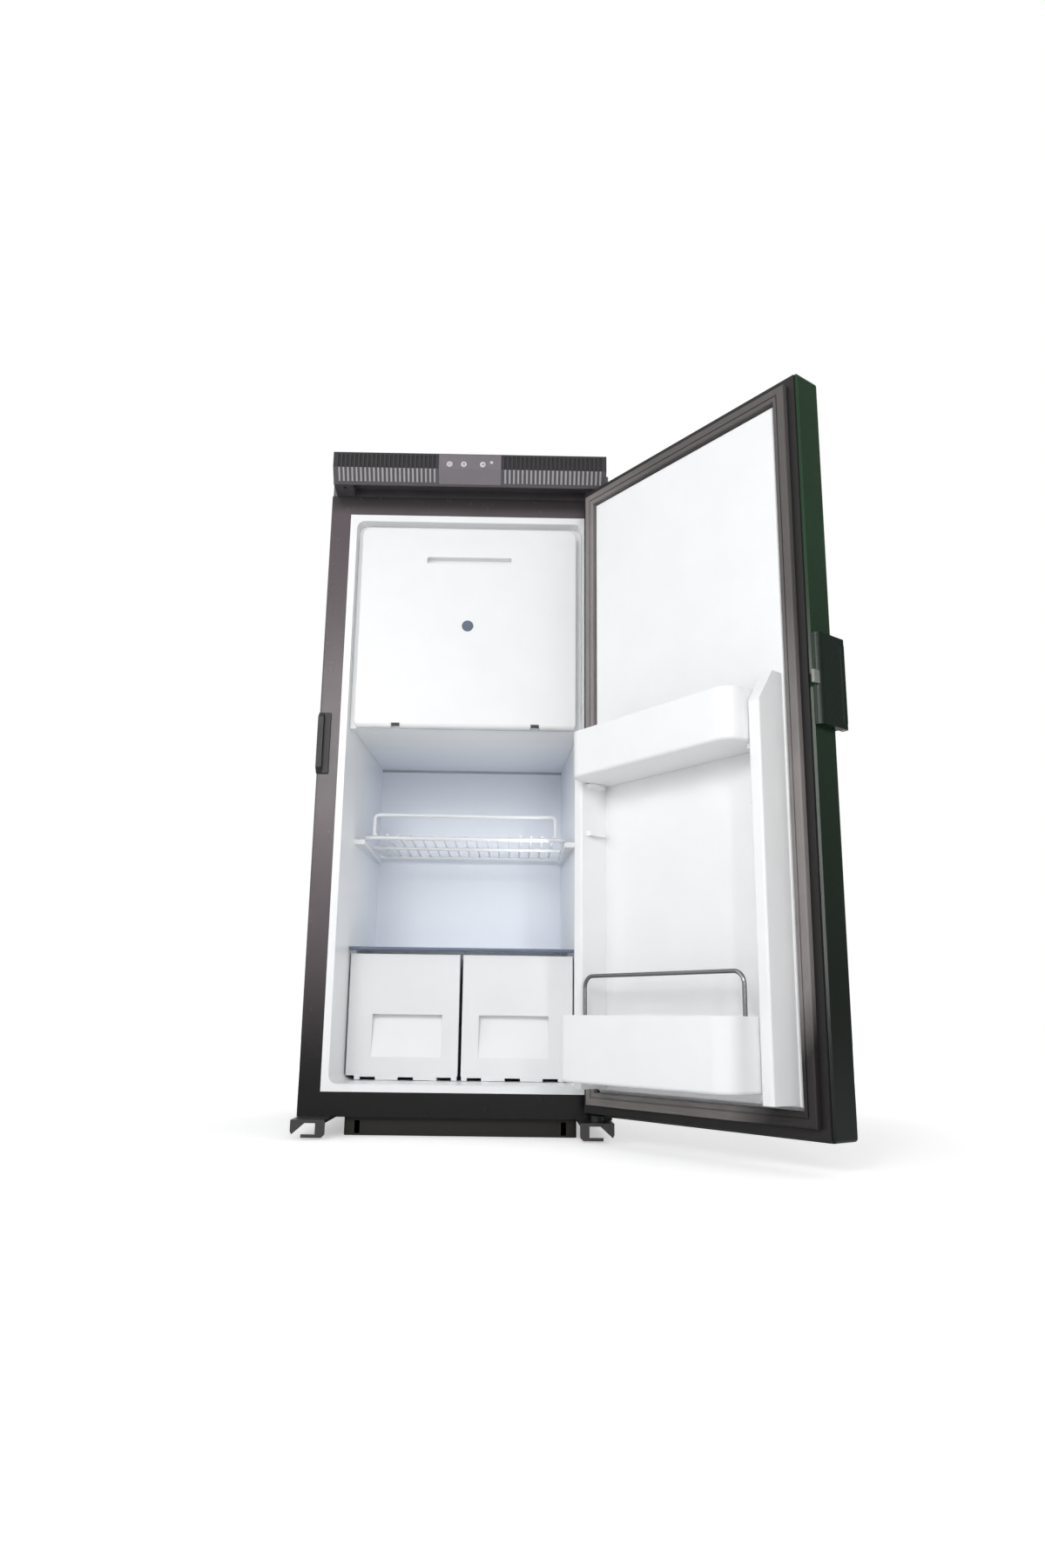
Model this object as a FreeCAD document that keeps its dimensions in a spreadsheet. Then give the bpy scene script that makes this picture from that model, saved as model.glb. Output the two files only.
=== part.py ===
import FreeCAD, Part
import math
import os
import re

import Sketcher
from FreeCAD import Placement, Rotation, Vector

# A caravan compressor fridge with its door standing open, in millimetres.
# X runs to the right, Y into the cabinet, Z up. The origin is the middle of the base pan's underside.

doc = FreeCAD.newDocument("caravan_fridge")
sheet = doc.addObject("Spreadsheet::Sheet", "dims")

# Driving sizes: name, millimetres (or degrees, or a count), what it measures.
SIZES = [
    # cabinet
    ("cab_width", 420, "outside width of the cabinet"),
    ("cab_height", 970, "height from the floor to the top of the casing"),
    ("cab_depth", 470, "front frame to the rear edge of the casing"),
    ("base_height", 24, "height of the base pan"),
    ("base_inset", 62, "base pan in from the cabinet's sides"),
    ("base_set", 12, "base pan set back from the front frame"),
    ("base_extra", 15, "base pan's extra width on the hinge side"),
    ("base_slot", 7, "width of the slots in the base pan's front flange"),
    ("fix_hole", 6.5, "floor fixing hole diameter"),
    ("fix_in", 28, "floor fixing holes in from the base pan's sides"),
    ("fix_set", 53, "floor fixing holes in from the base pan's ends"),
    ("steel", 1.2, "thickness of the steel sheets"),
    ("vent_height", 46, "height of the vent panel over the front frame"),
    ("frame_depth", 10, "thickness of the front frame"),
    ("stile_width", 30, "width of the frame's stiles"),
    ("top_rail", 30, "height of the frame's top rail"),
    ("bottom_rail", 32, "height of the frame's bottom rail"),
    ("frame_round", 2.5, "rounding of the frame's outer edge"),
    ("duct_depth", 116, "depth of the air duct behind the insulated box"),
    ("niche_depth", 170, "depth of the machine room under the box"),
    ("niche_height", 196, "height of the machine room"),
    # inner liner
    ("liner_wall", 2.5, "wall of the inner liner"),
    ("lip_width", 10, "front lip of the liner inside the frame"),
    ("lip_depth", 3, "thickness of that lip"),
    ("cavity_round", 12, "rounding of the cavity's long corners"),
    ("back_foam", 50, "liner and foam behind the cavity"),
    ("wall_draft", 16, "lean of each side wall over that depth"),
    ("niche_foam", 44, "liner and foam between the lower cavity and the machine room"),
    ("step_level", 230, "height of the step over the machine room, above the base"),
    ("ledge_width", 9, "reach of the shelf ledges from the wall"),
    ("ledge_height", 7, "height of the shelf ledges"),
    ("runner_width", 12, "width of the floor runners"),
    ("runner_height", 6, "height of the floor runners"),
    # freezer
    ("flap_side", 9, "gap between the flap and the liner at each side"),
    ("flap_head", 8, "gap over the flap"),
    ("flap_thick", 14, "thickness of the freezer flap"),
    ("flap_level", 540, "flap's lower edge above the base"),
    ("flap_set", 4, "flap's face behind the front frame"),
    ("flap_play", 1.2, "gap between the flap and the bezel"),
    ("flap_skin", 2, "flap's front wall over its hinge notches"),
    ("flap_corner", 14, "radius of the flap's upper corners"),
    ("slot_width", 126, "width of the flap's finger slot"),
    ("slot_height", 10, "height of the finger slot"),
    ("slot_depth", 11.5, "depth of the finger slot"),
    ("slot_drop", 47, "finger slot's upper edge below the flap's upper edge"),
    ("disc_size", 17, "diameter of the plain disc on the flap"),
    ("disc_thick", 2, "thickness of the disc"),
    ("disc_sink", 1.2, "depth of the disc's seat"),
    ("knuckle_in", 60, "flap hinges in from the flap's sides"),
    ("knuckle_width", 14, "width of the hinge notches in the flap"),
    ("knuckle_rise", 5.5, "hinge notches above the flap's hinge axis"),
    ("knuckle_wall", 1.6, "wall of the bezel's lugs round the pins"),
    ("knuckle_pin", 3, "diameter of the flap's hinge pins"),
    ("bezel_depth", 12, "thickness of the freezer bezel"),
    ("bezel_rim", 14, "width of the bezel's sides"),
    ("freezer_wall", 2.5, "wall of the freezer box"),
    ("freezer_inset", 8, "freezer box inside the bezel's outline"),
    # shelf
    ("shelf_level", 389, "underside of the wire shelf above the base"),
    ("shelf_set", 92, "front bar behind the front frame"),
    ("shelf_back", 12, "shelf in front of the cavity's back wall"),
    ("shelf_bar", 6, "diameter of the shelf's border wire"),
    ("shelf_wire", 3, "diameter of the shelf's cross wires"),
    ("shelf_wires", 17, "number of cross wires"),
    ("rail_in", 18, "raised rail in from the shelf's ends"),
    ("rail_height", 32, "height of the raised rail"),
    ("rail_wire", 5, "diameter of the raised rail"),
    ("rail_bend", 6.5, "bend radius of the raised rail"),
    # crispers
    ("crisper_set", 98, "crisper fronts behind the front frame"),
    ("crisper_back", 8, "gap behind a crisper"),
    ("crisper_height", 172, "height of a crisper"),
    ("crisper_wall", 2.2, "wall of a crisper"),
    ("crisper_gap", 6, "gap between the crispers and beside them"),
    ("crisper_round", 6, "rounding of a crisper's rear upright edges"),
    ("crisper_face", 5, "thickness of a crisper's front"),
    ("face_gap", 2.2, "gap beside a crisper's front"),
    ("grip_side", 23.5, "finger recess in from a crisper's sides"),
    ("grip_low", 26, "finger recess above the crisper's bottom"),
    ("grip_height", 60, "height of the finger recess"),
    ("grip_depth", 14, "depth of the finger recess at its top"),
    ("cover_thick", 4, "thickness of the crisper cover"),
    ("trim_height", 4.5, "height of the cover's front trim"),
    ("trim_depth", 8, "depth of that trim"),
    # vent panel and controls
    ("vent_inset", 8, "vent panel in from the cabinet's sides"),
    ("vent_reach", 50, "vent panel's face in front of the frame"),
    ("vent_upright", 25, "height of its upright face"),
    ("vent_bevel", 13, "set-back of its bevelled lower face"),
    ("vent_wall", 2.5, "wall of the vent panel"),
    ("soffit_rise", 12, "recess of the vent panel's underside"),
    ("cheek_width", 28, "width of the solid end cheeks"),
    ("slit_width", 3, "width of a vent slit"),
    ("slit_pitch", 6.4, "spacing of the vent slits"),
    ("slit_end", 8, "plain stretch beyond the last slit"),
    ("slit_margin", 4, "slits from the top and lower edges"),
    ("panel_width", 92, "width of the control panel"),
    ("panel_proud", 0.6, "control panel in front of the vent panel's face"),
    ("panel_margin", 2, "control panel from the top and lower edges"),
    ("button_size", 9, "diameter of a push button"),
    ("button_proud", 1.2, "button in front of the control panel"),
    ("button_play", 0.2, "radial play of a button"),
    ("button_travel", 0.8, "travel of a button"),
    ("button_rise", 7, "button centres above the crease"),
    ("button_first", -30, "first button from the middle"),
    ("button_second", -9, "second button from the middle"),
    ("button_third", 19, "third button from the middle"),
    ("light_place", 32, "status light from the middle"),
    ("light_size", 5, "diameter of the status light"),
    ("light_lift", 4, "status light above the buttons"),
    ("board_gap", 8, "control board behind the panel"),
    ("board_thick", 1.6, "thickness of the control board"),
    # door
    ("door_reveal", 16, "door in from the cabinet's sides"),
    ("door_drop", 7, "door's upper edge below the frame's upper edge"),
    ("door_lift", 9, "door's lower edge above the frame's lower edge"),
    ("door_gap", 11, "closed door's inner face in front of the frame"),
    ("door_thick", 41, "thickness of the door"),
    ("door_round", 4, "rounding of the door's outer edges"),
    ("shell_wall", 3, "wall of the door shell"),
    ("rim_bevel", 2.4, "bevel of the shell's rim"),
    ("decor_inset", 27, "recess for the front panel in from the door's edges"),
    ("decor_depth", 1.2, "depth of that recess"),
    ("pivot_in", 7, "hinge axis from the door's hinge edge"),
    ("pivot_back", 15.5, "hinge axis behind the door's inner face"),
    ("swing", 127, "opening angle at rest, in degrees"),
    ("pin_size", 6, "diameter of the hinge pins"),
    ("pin_play", 0.05, "radial play of the hinge pins"),
    ("bush_size", 10, "outside diameter of the hinge bushes"),
    ("bush_length", 25, "length of the hinge bushes"),
    ("pin_reach", 20, "length of a hinge pin inside its bush"),
    ("spacer_size", 16, "outside diameter of the hinge spacer"),
    ("rest_gap", 0.3, "running gap under what slides, turns or lifts off"),
    ("gasket_width", 27, "width of the gasket"),
    ("gasket_thick", 10.4, "height of the gasket's bulb"),
    ("flange_width", 10.6, "width of the gasket's flange outside the bulb"),
    ("flange_thick", 2.4, "thickness of that flange"),
    ("bulb_round", 2, "rounding of the bulb"),
    ("crease_width", 1.6, "width of the crease in the bulb"),
    ("crease_depth", 1.4, "depth of that crease"),
    ("crease_in", 5.5, "crease from the bulb's inner side"),
    ("plug_gap", 3, "raised liner panel inside the gasket"),
    ("plug_rise", 7, "height of the raised liner panel"),
    ("plug_round", 3, "rounding of the raised panel and its ribs"),
    ("dyke_inset", 3, "side ribs in from the raised panel's sides"),
    ("dyke_width", 16, "width of the liner's side ribs"),
    ("dyke_rise", 50, "height of the side ribs"),
    ("dyke_top", 520, "top of the side ribs above the base"),
    ("dyke_slope", 40, "height of the slope at the top of the ribs"),
    ("lug_reach", 9, "reach of the lugs that carry the bins"),
    ("lug_height", 6, "height of those lugs"),
    ("lug_run", 26, "length of those lugs"),
    ("spare_level", 372, "spare lugs above the base"),
    # bins
    ("bin_play", 1, "gap between a bin and the side ribs"),
    ("bin_wall", 2.2, "wall of the bins"),
    ("bin_round", 24, "rounding of the bins' front corners"),
    ("upper_level", 436, "upper bin's floor above the base"),
    ("upper_height", 62, "height of the upper bin"),
    ("upper_run", 70, "depth of the upper bin"),
    ("lower_level", 56, "lower bin's floor above the base"),
    ("lower_height", 79, "height of the lower bin"),
    ("lower_run", 90, "depth of the lower bin"),
    ("hoop_in", 12, "bottle rail in from the bin's ends"),
    ("hoop_set", 48, "bottle rail in front of the bin's back"),
    ("hoop_top", 183, "bottle rail above the base"),
    ("hoop_wire", 5, "diameter of the bottle rail"),
    ("hoop_bend", 14, "bend radius of the bottle rail"),
    ("socket_size", 11, "side of the sockets that hold the rail"),
    ("socket_depth", 40, "depth of those sockets"),
    # latch
    ("latch_level", 453, "latch's lower end above the base"),
    ("latch_height", 108, "height of the latch"),
    ("latch_reach", 9, "latch housing beyond the door's free edge"),
    ("latch_inset", 2, "latch housing behind the door's inner face"),
    ("latch_wrap", 24, "latch housing's plate over the door's face"),
    ("latch_plate", 2, "thickness of that plate"),
    ("latch_round", 8, "rounding of the housing's edge beside the catch"),
    ("ear_height", 7, "height of the ears that hold the handle"),
    ("ear_reach", 8.5, "reach of the ears from the plate"),
    ("handle_wall", 2, "thickness of the handle's grip"),
    ("handle_play", 0.4, "play of the handle between its ears"),
    ("handle_pin", 4, "diameter of the handle's pin"),
    ("pawl_width", 3, "width of the pawl"),
    ("pawl_height", 15, "height of the pawl"),
    ("pawl_length", 17, "length of the pawl in its slot"),
    ("pawl_nose", 8, "pawl's nose beyond the housing"),
    ("pawl_travel", 3, "travel of the pawl"),
    ("catch_width", 17, "width of the catch"),
    ("catch_height", 90, "height of the catch"),
    ("catch_level", 467, "catch's lower end above the base"),
    ("catch_floor", 3, "thickness of the catch's floor"),
    ("catch_rise", 10, "height of the catch's lip"),
    ("catch_play", 1, "pawl's nose from the catch's lip"),
    ("catch_chamfer", 8, "chamfered ends of the catch"),
    # lower hinge brackets
    ("bracket_width", 44, "width of a hinge bracket"),
    ("bracket_out", 2, "bracket inside the cabinet's side"),
    ("bracket_front", 44, "bracket in front of the frame"),
    ("bracket_back", 60, "bracket under the cabinet"),
    ("bracket_thick", 4, "thickness of a hinge bracket"),
    ("bracket_leg", 12, "width of the bracket's hooked leg"),
    ("bracket_foot", 18, "length of the hook's foot"),
    ("bracket_wing", 18, "width of the bracket's outer wing"),
    ("screw_size", 4, "diameter of the bracket screws"),
    ("screw_head", 8, "head diameter of the bracket screws"),
    # machine room
    ("tray_thick", 2, "thickness of the machine tray"),
    ("pump_size", 128, "diameter of the compressor"),
    ("pump_height", 118, "height of the compressor's can"),
    ("pump_air", 24, "compressor's foot plate from the fan frame"),
    ("pump_back", 86, "compressor in front of the casing's rear edge"),
    ("foot_span", 140, "compressor mounts, side to side"),
    ("foot_run", 70, "compressor mounts, front to back"),
    ("mount_size", 22, "diameter of a compressor mount"),
    ("mount_height", 14, "height of a compressor mount"),
    ("foot_thick", 3, "thickness of the compressor's foot plate"),
    ("module_width", 70, "width of the control module"),
    ("module_height", 96, "height of the control module"),
    ("module_depth", 42, "depth of the control module"),
    ("module_fins", 8, "grooves between the control module's cooling fins"),
    ("module_side", 10, "control module in from the cabinet's side"),
    ("fan_size", 92, "side of the fan frame"),
    ("fan_depth", 25, "depth of the fan frame"),
    ("module_air", 14, "fan frame from the control module"),
    ("fan_back", 78, "fan frame's face in front of the casing's rear edge"),
    ("fan_bore", 86, "bore of the fan frame"),
    ("fan_play", 2, "gap between the blades and the bore"),
    ("hub_size", 34, "diameter of the fan's hub"),
    ("blade_count", 7, "blades of the fan"),
    ("blade_pitch", 38, "pitch of the blades, in degrees"),
    ("axle_size", 5, "diameter of the fan's axle"),
    ("coil_tube", 6, "diameter of the condenser tube"),
    ("coil_side", 40, "condenser in from the cabinet's sides"),
    ("coil_low", 340, "lowest run of the condenser above the floor"),
    ("coil_head", 64, "highest run below the top of the insulated box"),
    ("coil_runs", 11, "number of runs"),
    ("coil_gap", 44, "condenser behind the back panel"),
    ("coil_wire", 2.4, "diameter of the condenser's fin wires"),
    ("coil_wires", 15, "number of fin wires"),
    ("strap_width", 14, "width of the condenser straps"),
    ("pipe_size", 6, "diameter of the refrigerant pipes"),
    ("drier_size", 18, "diameter of the drier"),
    ("drier_length", 84, "length of the drier"),
    ("drip_height", 22, "height of the drip tray"),
    ("drip_size", 120, "side of the drip tray"),
    ("drip_wall", 2, "wall of the drip tray"),
    ("block_width", 34, "width of the terminal block"),
    ("block_height", 20, "height of the terminal block"),
    ("block_depth", 14, "depth of the terminal block"),
]

for row, (name, millimetres, note) in enumerate(SIZES, 1):
    sheet.set(f"A{row}", name)
    sheet.set(f"B{row}", str(millimetres))
    sheet.setAlias(f"B{row}", name)
    sheet.set(f"C{row}", note)
doc.recompute()
SIZE_NAMES = {name for name, millimetres, note in SIZES}

# Places that several pieces share, worked out from the sizes.
PLACES = {
    "base_width": "cab_width - 2 * base_inset",
    "fix_across": "base_width - 2 * fix_in",
    "fix_along": "cab_depth - 2 * (base_set + fix_set)",
    "frame_height": "cab_height - base_height - vent_height",
    "box_depth": "cab_depth - duct_depth",
    "cavity_depth": "box_depth - back_foam",
    "lower_depth": "cab_depth - niche_depth - niche_foam",
    "flap_width": "2 * (cavity_half - flap_side)",
    "flap_height": "cavity_high - flap_low - flap_head",
    "knuckle_reach": "flap_width / 2 - knuckle_in",
    "shelf_run": "cavity_depth - shelf_set - shelf_back",
    "shelf_half": "cavity_half - wall_draft - rest_gap",
    "rail_width": "2 * (shelf_half - rail_in)",
    "crisper_run": "lower_depth - crisper_set - crisper_back",
    "vent_width": "cab_width - 2 * vent_inset",
    "door_width": "cab_width - 2 * door_reveal",
    "door_height": "frame_height - door_lift - door_drop",
    "hoop_width": "2 * (bin_half - hoop_in)",
    "coil_width": "cab_width - 2 * coil_side",
    "coil_pitch": "(frame_top - coil_head - coil_low) / (coil_runs - 1)",
    "module_x": "cab_width / 2 - module_side - module_width / 2",
    "fan_x": "module_x - module_width / 2 - module_air - fan_size / 2",
    "pump_x": "fan_x - fan_size / 2 - pump_air - foot_span / 2",
    "pump_y": "cab_depth - pump_back",
    "fan_y": "cab_depth - fan_back",
    "front": "-cab_depth / 2",
    "frame_top": "base_height + frame_height",
    "open_low": "base_height + bottom_rail",
    "open_high": "frame_top - top_rail",
    "open_half": "cab_width / 2 - stile_width",
    "cavity_half": "open_half - lip_width",
    "cavity_low": "open_low + lip_width",
    "cavity_high": "open_high - lip_width",
    "step_top": "base_height + step_level",
    "niche_front": "front + cab_depth - niche_depth",
    "niche_top": "base_height + niche_height",
    "box_back": "front + box_depth",
    "flap_low": "base_height + flap_level",
    "flap_front": "front + flap_set",
    "flap_back": "flap_front + flap_thick",
    "flap_axis_y": "flap_front + flap_thick / 2",
    "flap_axis_z": "flap_low + flap_thick / 2",
    "bezel_front": "flap_back + flap_play",
    "bezel_back": "bezel_front + bezel_depth",
    "shelf_z": "base_height + shelf_level",
    "shelf_front": "front + shelf_set",
    "cover_top": "step_top",
    "cover_low": "step_top - cover_thick",
    "crisper_front": "front + crisper_set",
    "crisper_low": "cavity_low + runner_height + rest_gap",
    "crisper_half": "cavity_half - wall_draft - crisper_gap / 2",
    "vent_front": "front - vent_reach",
    "vent_crease": "cab_height - vent_upright",
    "vent_lip": "vent_front + vent_bevel",
    "soffit": "frame_top + soffit_rise",
    "panel_face": "vent_front - panel_proud",
    "panel_back": "vent_front + vent_wall",
    "button_z": "vent_crease + button_rise",
    "door_inner": "front - door_gap",
    "door_outer": "door_inner - door_thick",
    "door_low": "base_height + door_lift",
    "door_high": "door_low + door_height",
    "pivot_x": "door_width / 2 - pivot_in",
    "pivot_y": "door_inner - pivot_back",
    "gasket_inner": "shell_wall + gasket_width",
    "plug_inset": "gasket_inner + plug_gap",
    "plug_half": "door_width / 2 - plug_inset",
    "plug_face": "door_inner + plug_rise",
    "dyke_out": "plug_half - dyke_inset",
    "dyke_in": "dyke_out - dyke_width",
    "bin_half": "dyke_in - bin_play",
    "bin_back": "plug_face + rest_gap",
    "upper_floor": "base_height + upper_level",
    "lower_floor": "base_height + lower_level",
    "hoop_y": "bin_back + hoop_set",
    "free_edge": "-door_width / 2",
    "latch_low": "base_height + latch_level",
    "latch_side": "free_edge - latch_reach",
    "latch_back": "door_inner - latch_inset",
    "latch_face": "door_outer - latch_plate",
    "latch_middle": "latch_low + latch_height / 2",
    "pawl_side": "latch_side + 2",
    "handle_axis_x": "latch_side + ear_reach / 2",
    "handle_axis_y": "latch_face - ear_reach / 2",
    "catch_low": "base_height + catch_level",
    "bracket_top": "base_height",
    "tray_top": "base_height + tray_thick",
    "pump_base": "tray_top + mount_height",
    "pump_place": "front + pump_y",
    "fan_front": "front + fan_y",
    "fan_z": "tray_top + fan_size / 2",
    "coil_y": "box_back + steel + coil_gap",
}

NODES = []


def expr(text):
    """Write an expression in terms of the sheet's cells."""
    def swap(match):
        word = match.group(0)
        if word in PLACES:
            return "(" + expr(PLACES[word]) + ")"
        return "dims." + word if word in SIZE_NAMES else word
    return re.sub(r"[a-z_]+[a-z0-9_]*", swap, text)


gauge = doc.addObject("App::FeaturePython", "gauge")
gauge.addProperty("App::PropertyFloat", "reading")


def size(text):
    """The present value of an expression in the sizes and places."""
    gauge.setExpression("reading", expr(text))
    doc.recompute()
    return gauge.reading


def bind(item, **sizes):
    for prop, text in sizes.items():
        item.setExpression(prop, expr(text))
    return item


def put(item, x, y, z):
    bind(item, **{"Placement.Base.x": x, "Placement.Base.y": y, "Placement.Base.z": z})
    return item


def node(item, label):
    item.Label = label
    NODES.append(item)
    return item


def swing_open(item):
    """Turn a piece of the closed door about the hinge axis to the door's rest angle."""
    item.Placement = Placement(Vector(), Rotation(Vector(0, 0, 1), size("swing")))
    turn = "(swing * 1deg)"
    bind(item, **{
        "Placement.Rotation.Angle": turn,
        "Placement.Base.x": f"pivot_x - pivot_x * cos{turn} + (pivot_y) * sin{turn}",
        "Placement.Base.y": f"pivot_y - pivot_x * sin{turn} - (pivot_y) * cos{turn}",
    })
    return item


# Primitives and booleans

def box(name, low, high):
    """A box between two corners, each a triple of expressions."""
    item = doc.addObject("Part::Box", name)
    lengths = [f"({b}) - ({a})" for a, b in zip(low, high)]
    bind(item, Length=lengths[0], Width=lengths[1], Height=lengths[2])
    return put(item, *low)


def tapered(name, near, far, y_near, y_far):
    """A block along Y from one rectangle (half width, low, high) to another."""
    item = doc.addObject("Part::Wedge", name)
    item.Ymax = 1000
    return bind(
        item,
        Xmin=f"-({near[0]})", Xmax=near[0], Zmin=near[1], Zmax=near[2],
        X2min=f"-({far[0]})", X2max=far[0], Z2min=far[1], Z2max=far[2],
        Ymin=y_near, Ymax=y_far,
    )


AXES = {"x": Rotation(Vector(0, 1, 0), 90), "y": Rotation(Vector(1, 0, 0), -90), "z": Rotation()}


def rod(name, axis, diameter, start, length):
    """A cylinder that starts at a point and runs along one axis."""
    item = doc.addObject("Part::Cylinder", name)
    item.Placement = Placement(Vector(), AXES[axis])
    bind(item, Radius=f"({diameter}) / 2", Height=length)
    return put(item, *start)


def cut(name, base, *tools):
    for count, tool in enumerate(tools):
        item = doc.addObject("Part::Cut", f"{name}_cut{count}")
        item.Base = base
        item.Tool = tool
        base = item
    return base


def fuse(name, *items):
    item = doc.addObject("Part::MultiFuse", name)
    item.Shapes = list(items)
    item.Refine = True
    return item


def common(name, first, second):
    item = doc.addObject("Part::Common", name)
    item.Base = first
    item.Tool = second
    return item


# Bodies with sketches

def new_body(label):
    return node(doc.addObject("PartDesign::Body", label), label)


def sketch(body, role, level, *loops):
    """A sketch on one of the body's planes. A loop is a list of points or one (x, y, diameter) circle."""
    item = body.newObject("Sketcher::SketchObject", body.Name + "_sketch")
    support = next(f for f in body.Origin.OriginFeatures if f.Role == role)
    item.AttachmentSupport = (support, "")
    item.MapMode = "FlatFace"
    sign = "-" if role == "XZ_Plane" else ""
    bind(item, **{"AttachmentOffset.Base.z": f"{sign}({level})"})
    for loop in loops:
        if isinstance(loop, tuple):
            draw_circle(item, *loop)
        else:
            draw_polygon(item, loop)
    return item


def tie(item, kind, geometry, point, start, text):
    index = item.addConstraint(Sketcher.Constraint(kind, -1, 1, geometry, point, start))
    item.setExpression(f"Constraints[{index}]", expr(text))


def draw_polygon(item, points):
    turn = 2 * math.pi / len(points)
    corners = [Vector(50 * math.cos(turn * i), 50 * math.sin(turn * i), 0) for i in range(len(points))]
    ends = corners[1:] + corners[:1]
    lines = item.addGeometry([Part.LineSegment(a, b) for a, b in zip(corners, ends)])
    following = lines[1:] + lines[:1]
    item.addConstraint([Sketcher.Constraint("Coincident", a, 2, b, 1) for a, b in zip(lines, following)])
    for line, corner, (x, y) in zip(lines, corners, points):
        tie(item, "DistanceX", line, 1, corner.x, x)
        tie(item, "DistanceY", line, 1, corner.y, y)


def draw_circle(item, x, y, diameter):
    circle = item.addGeometry(Part.Circle(Vector(10, 10, 0), Vector(0, 0, 1), 5))
    tie(item, "DistanceX", circle, 3, 10, x)
    tie(item, "DistanceY", circle, 3, 10, y)
    index = item.addConstraint(Sketcher.Constraint("Diameter", circle, 10))
    item.setExpression(f"Constraints[{index}]", expr(diameter))


def rectangle(low, high):
    return [(low[0], low[1]), (high[0], low[1]), (high[0], high[1]), (low[0], high[1])]


def settle(item, body):
    """Recompute after a feature and stop if it failed."""
    doc.recompute()
    if not item.isValid():
        raise RuntimeError(f"{item.Name} in {body.Label} failed")
    return item


def feature(kind, body, profile, length, back=False, both=False):
    item = body.newObject(f"PartDesign::{kind}", f"{body.Name}_{kind}")
    item.Profile = profile
    item.Reversed = back
    if both:
        item.SideType = "Symmetric"
    bind(item, Length=length)
    return settle(item, body)


def pad(body, profile, length, **options):
    return feature("Pad", body, profile, length, **options)


def pocket(body, profile, length, **options):
    before = body.Shape.Volume
    item = feature("Pocket", body, profile, length, **options)
    if body.Shape.Volume > before - 1e-3:
        raise RuntimeError(f"{item.Name} in {body.Label} cuts nothing")
    return item


def pattern(body, kind, original, **sizes):
    """Repeat the last feature; the body's tip becomes the pattern."""
    item = body.newObject(f"PartDesign::{kind}", f"{body.Name}_{kind}")
    item.Originals = [original]
    for prop, setting in sizes.items():
        if isinstance(setting, str):
            bind(item, **{prop: setting})
        else:
            setattr(item, prop, setting)
    body.Tip = item
    return settle(item, body)


def revolve(body, profile):
    """Turn a profile about its own upright axis."""
    item = body.newObject("PartDesign::Revolution", f"{body.Name}_turned")
    item.Profile = profile
    item.ReferenceAxis = (profile, ["V_Axis"])
    item.Angle = 360
    return settle(item, body)


def edge_names(shape, test):
    return [f"Edge{i}" for i, edge in enumerate(shape.Edges, 1) if test(edge, shape.BoundBox)]


def fillet(body, radius, test):
    base = body.Tip
    names = edge_names(base.Shape, test)
    item = body.newObject("PartDesign::Fillet", body.Name + "_round")
    item.Base = (base, names)
    bind(item, Radius=radius)
    return settle(item, body)


def chamfer(body, length, test):
    base = body.Tip
    item = body.newObject("PartDesign::Chamfer", body.Name + "_chamfer")
    item.Base = (base, edge_names(base.Shape, test))
    bind(item, Size=length)
    return settle(item, body)


def hollow(body, wall, test):
    """Shell a body inwards, open at the faces that pass the test."""
    base = body.Tip
    faces = [f"Face{i}" for i, face in enumerate(base.Shape.Faces, 1) if test(face, base.Shape.BoundBox)]
    item = body.newObject("PartDesign::Thickness", body.Name + "_shell")
    item.Base = (base, faces)
    item.Reversed = True
    item.Join = "Intersection"
    bind(item, Value=wall)
    return settle(item, body)


def near(a, b):
    return abs(a - b) < 1e-3


def runs_along(axis):
    """Straight edges along one axis."""
    def test(edge, bounds):
        direction = edge.Vertexes[-1].Point.sub(edge.Vertexes[0].Point)
        flat = [abs(direction.x), abs(direction.y), abs(direction.z)]
        length = flat.pop("xyz".index(axis))
        return len(edge.Vertexes) == 2 and length > 1e-3 and max(flat) < 1e-3
    return test


def on_side(side):
    """Edges or faces that lie wholly on one side of the bounding box, such as XMin."""
    def test(item, bounds):
        level = getattr(bounds, side)
        own = item.BoundBox
        axis = side[0]
        return near(getattr(own, axis + "Min"), level) and near(getattr(own, axis + "Max"), level)
    return test


def either(*tests):
    return lambda item, bounds: any(test(item, bounds) for test in tests)


def every(*tests):
    return lambda item, bounds: all(test(item, bounds) for test in tests)


# Bent wire and tube

def bent_wire(points, diameter, bend):
    """A round bar along straight runs joined by arcs of one bend radius."""
    edges = []
    start = points[0]
    for before, corner, after in zip(points, points[1:], points[2:]):
        back = (before - corner).normalize()
        ahead = (after - corner).normalize()
        half = back.getAngle(ahead) / 2
        reach = bend / math.tan(half)
        centre = corner + (back + ahead).normalize() * (bend / math.sin(half))
        enter = corner + back * reach
        leave = corner + ahead * reach
        middle = centre + (corner - centre).normalize() * bend
        if (enter - start).Length > 1e-6:
            edges.append(Part.LineSegment(start, enter).toShape())
        edges.append(Part.Arc(enter, middle, leave).toShape())
        start = leave
    edges.append(Part.LineSegment(start, points[-1]).toShape())
    path = Part.Wire(edges)
    ring = Part.Wire(Part.makeCircle(diameter / 2, points[0], points[1] - points[0]))
    solid = path.makePipeShell([ring], True, False)
    exact = path.Length * math.pi * diameter ** 2 / 4
    if abs(solid.Volume - exact) > 0.01 * exact:
        raise RuntimeError("a bent wire's volume differs from its section times its length")
    return solid


def straight_wire(start, end, diameter):
    return Part.makeCylinder(diameter / 2, (end - start).Length, start, end - start)


def freeform(label, shape):
    item = doc.addObject("Part::Feature", label)
    item.Shape = shape
    item.Placement = Placement()
    return node(item, label)


# Base pan: a flat steel tray that the cabinet stands on

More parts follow.
